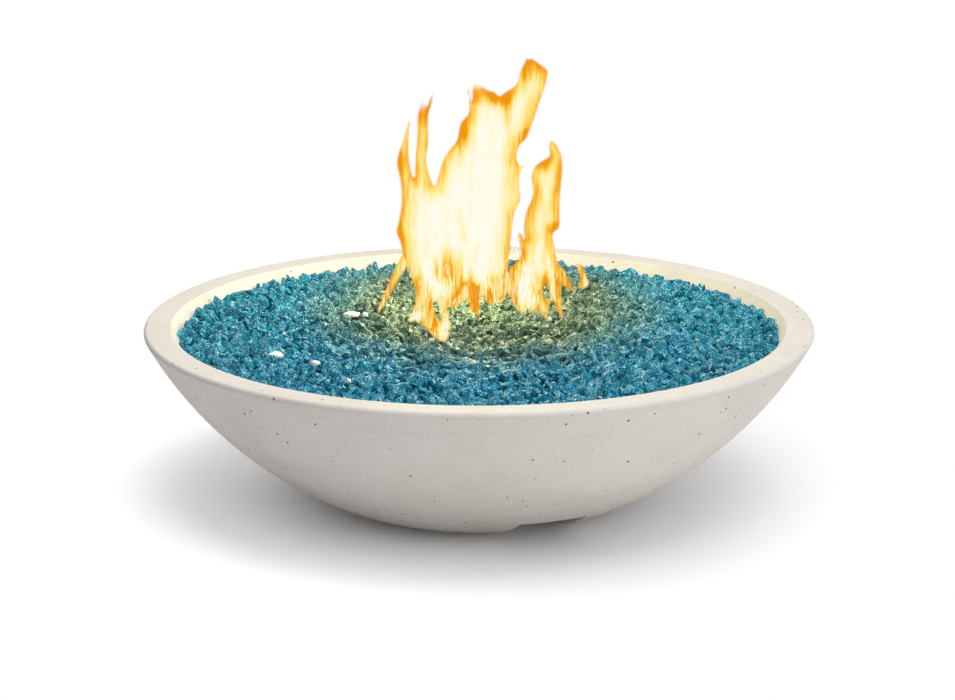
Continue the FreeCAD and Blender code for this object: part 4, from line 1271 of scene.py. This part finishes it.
@dataclass
class Studio:
    """The floor, the lamps, the world and the camera."""

    camera_place: Triple = (0.0, -3.04875, 1.0054)
    camera_pitch: float = 15.09
    lens: float = 97.21
    shift: float = -0.00157
    lamps: tuple[Lamp, ...] = (
        Lamp("top_lamp", (0.45, -0.7, 3.2), 2.6, 73.0),
        Lamp("side_lamp", (2.5, -1.9, 1.0), 2.0, 15.0),
    )
    flame_place: Pair = (-0.01, 0.06)
    flame_heights: Pair = (0.34, 0.44)
    flame_colour: Triple = (1.0, 0.9, 0.46)
    flame_power: float = 1.8
    flame_gloss: float = 0.15
    flame_size: float = 0.06
    sky: Colour = (0.98, 0.99, 1.0, 1.0)
    sky_left: float = 0.11
    sky_right: float = 0.46
    floor_size: float = 30.0
    floor_painted_left: Colour = (1.98, 2.02, 2.07, 1.0)
    floor_painted_right: Colour = (1.09, 1.115, 1.14, 1.0)
    floor_bounce: Colour = (0.96, 0.96, 0.96, 1.0)

    def build(self) -> None:
        """Build all of the studio."""
        self._camera()
        self._world()
        self._floor()
        for lamp in self.lamps:
            lamp.hang()
        for index, height in enumerate(self.flame_heights):
            data = bpy.data.lights.new("flame_glow_%d" % index, "POINT")
            data.energy = self.flame_power
            data.color = self.flame_colour
            data.specular_factor = self.flame_gloss
            data.shadow_soft_size = self.flame_size
            glow = bpy.data.objects.new(data.name, data)
            glow.location = (*self.flame_place, height)
            bpy.context.scene.collection.objects.link(glow)

    def _camera(self) -> None:
        """Put the camera at the photograph's place."""
        data = bpy.data.cameras.new("camera")
        data.lens = self.lens
        data.sensor_width = 36.0
        data.shift_x = self.shift
        camera = bpy.data.objects.new("camera", data)
        camera.location = self.camera_place
        camera.rotation_euler = (math.radians(90 - self.camera_pitch), 0, 0)
        bpy.context.scene.collection.objects.link(camera)
        bpy.context.scene.camera = camera

    @staticmethod
    def _seen(board: Board) -> Signal:
        """Return 1 for rays that show the background: seen, mirrored or through glass."""
        path = board.add("ShaderNodeLightPath", out="Is Camera Ray")
        total = path + path.output("Is Glossy Ray") + path.output("Is Transmission Ray")
        return total.above(0.0, 1.0)

    def _world(self) -> None:
        """Light the object, more from the right, and show white behind it."""
        world = bpy.data.worlds.new("studio")
        world.use_nodes = True
        bpy.context.scene.world = world
        board = Board(world.node_tree)
        side = board.along(board.add("ShaderNodeTexCoord", out="Generated"), "X")
        left, right, white = (
            board.add("ShaderNodeBackground", {}, {"Color": colour, "Strength": strength})
            for colour, strength in (
                (self.sky, self.sky_left),
                (self.sky, self.sky_right),
                (WHITE, 1.0),
            )
        )
        sky = board.either(left, right, side.above(-0.9, 0.9))
        both = board.either(sky, white, self._seen(board))
        board.add("ShaderNodeOutputWorld", {}, {"Surface": both})

    def _floor(self) -> None:
        """Lay a pale floor that turns into the white background."""
        shape = bmesh.new()
        bmesh.ops.create_grid(shape, x_segments=8, y_segments=8, size=self.floor_size)
        made, board = new_board("pale_floor")
        place = board.place()
        away = board.add("ShaderNodeVectorMath", {"operation": "LENGTH"}, {0: place}, out="Value")
        bounce, left, right = (
            board.add("ShaderNodeBsdfDiffuse", {}, {"Color": colour})
            for colour in (self.floor_bounce, self.floor_painted_left, self.floor_painted_right)
        )
        # Painted light: camera rays see the floor lifted above its own colour, more on the left,
        # which lightens the lamp's shadow there.
        lit = board.either(left, right, board.along(place, "X").above(-0.34, 0.3))
        white = board.add("ShaderNodeEmission", {}, {"Color": WHITE, "Strength": 1.0})
        shown = board.either(lit, white, away.above(0.14, 0.72))
        both = board.either(bounce, shown, self._seen(board))
        board.add("ShaderNodeOutputMaterial", {}, {"Surface": both})
        floor = new_object("floor", mesh_of(shape, "floor"), made)


def main() -> None:
    """Build the dressed fire pit."""
    logging.basicConfig(level=logging.INFO, format="%(message)s")
    noise.seed_set(NOISE_SEED)
    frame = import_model()
    bpy.context.scene.view_settings.view_transform = "Standard"
    rubber = Rubber().material()
    Bowl().dress(frame, rubber)
    GasTrain().dress(frame, rubber)
    GlassBed().build(frame)
    Flame().build()
    Studio().build()
    bpy.context.view_layer.update()


if __name__ == "__main__":
    main()
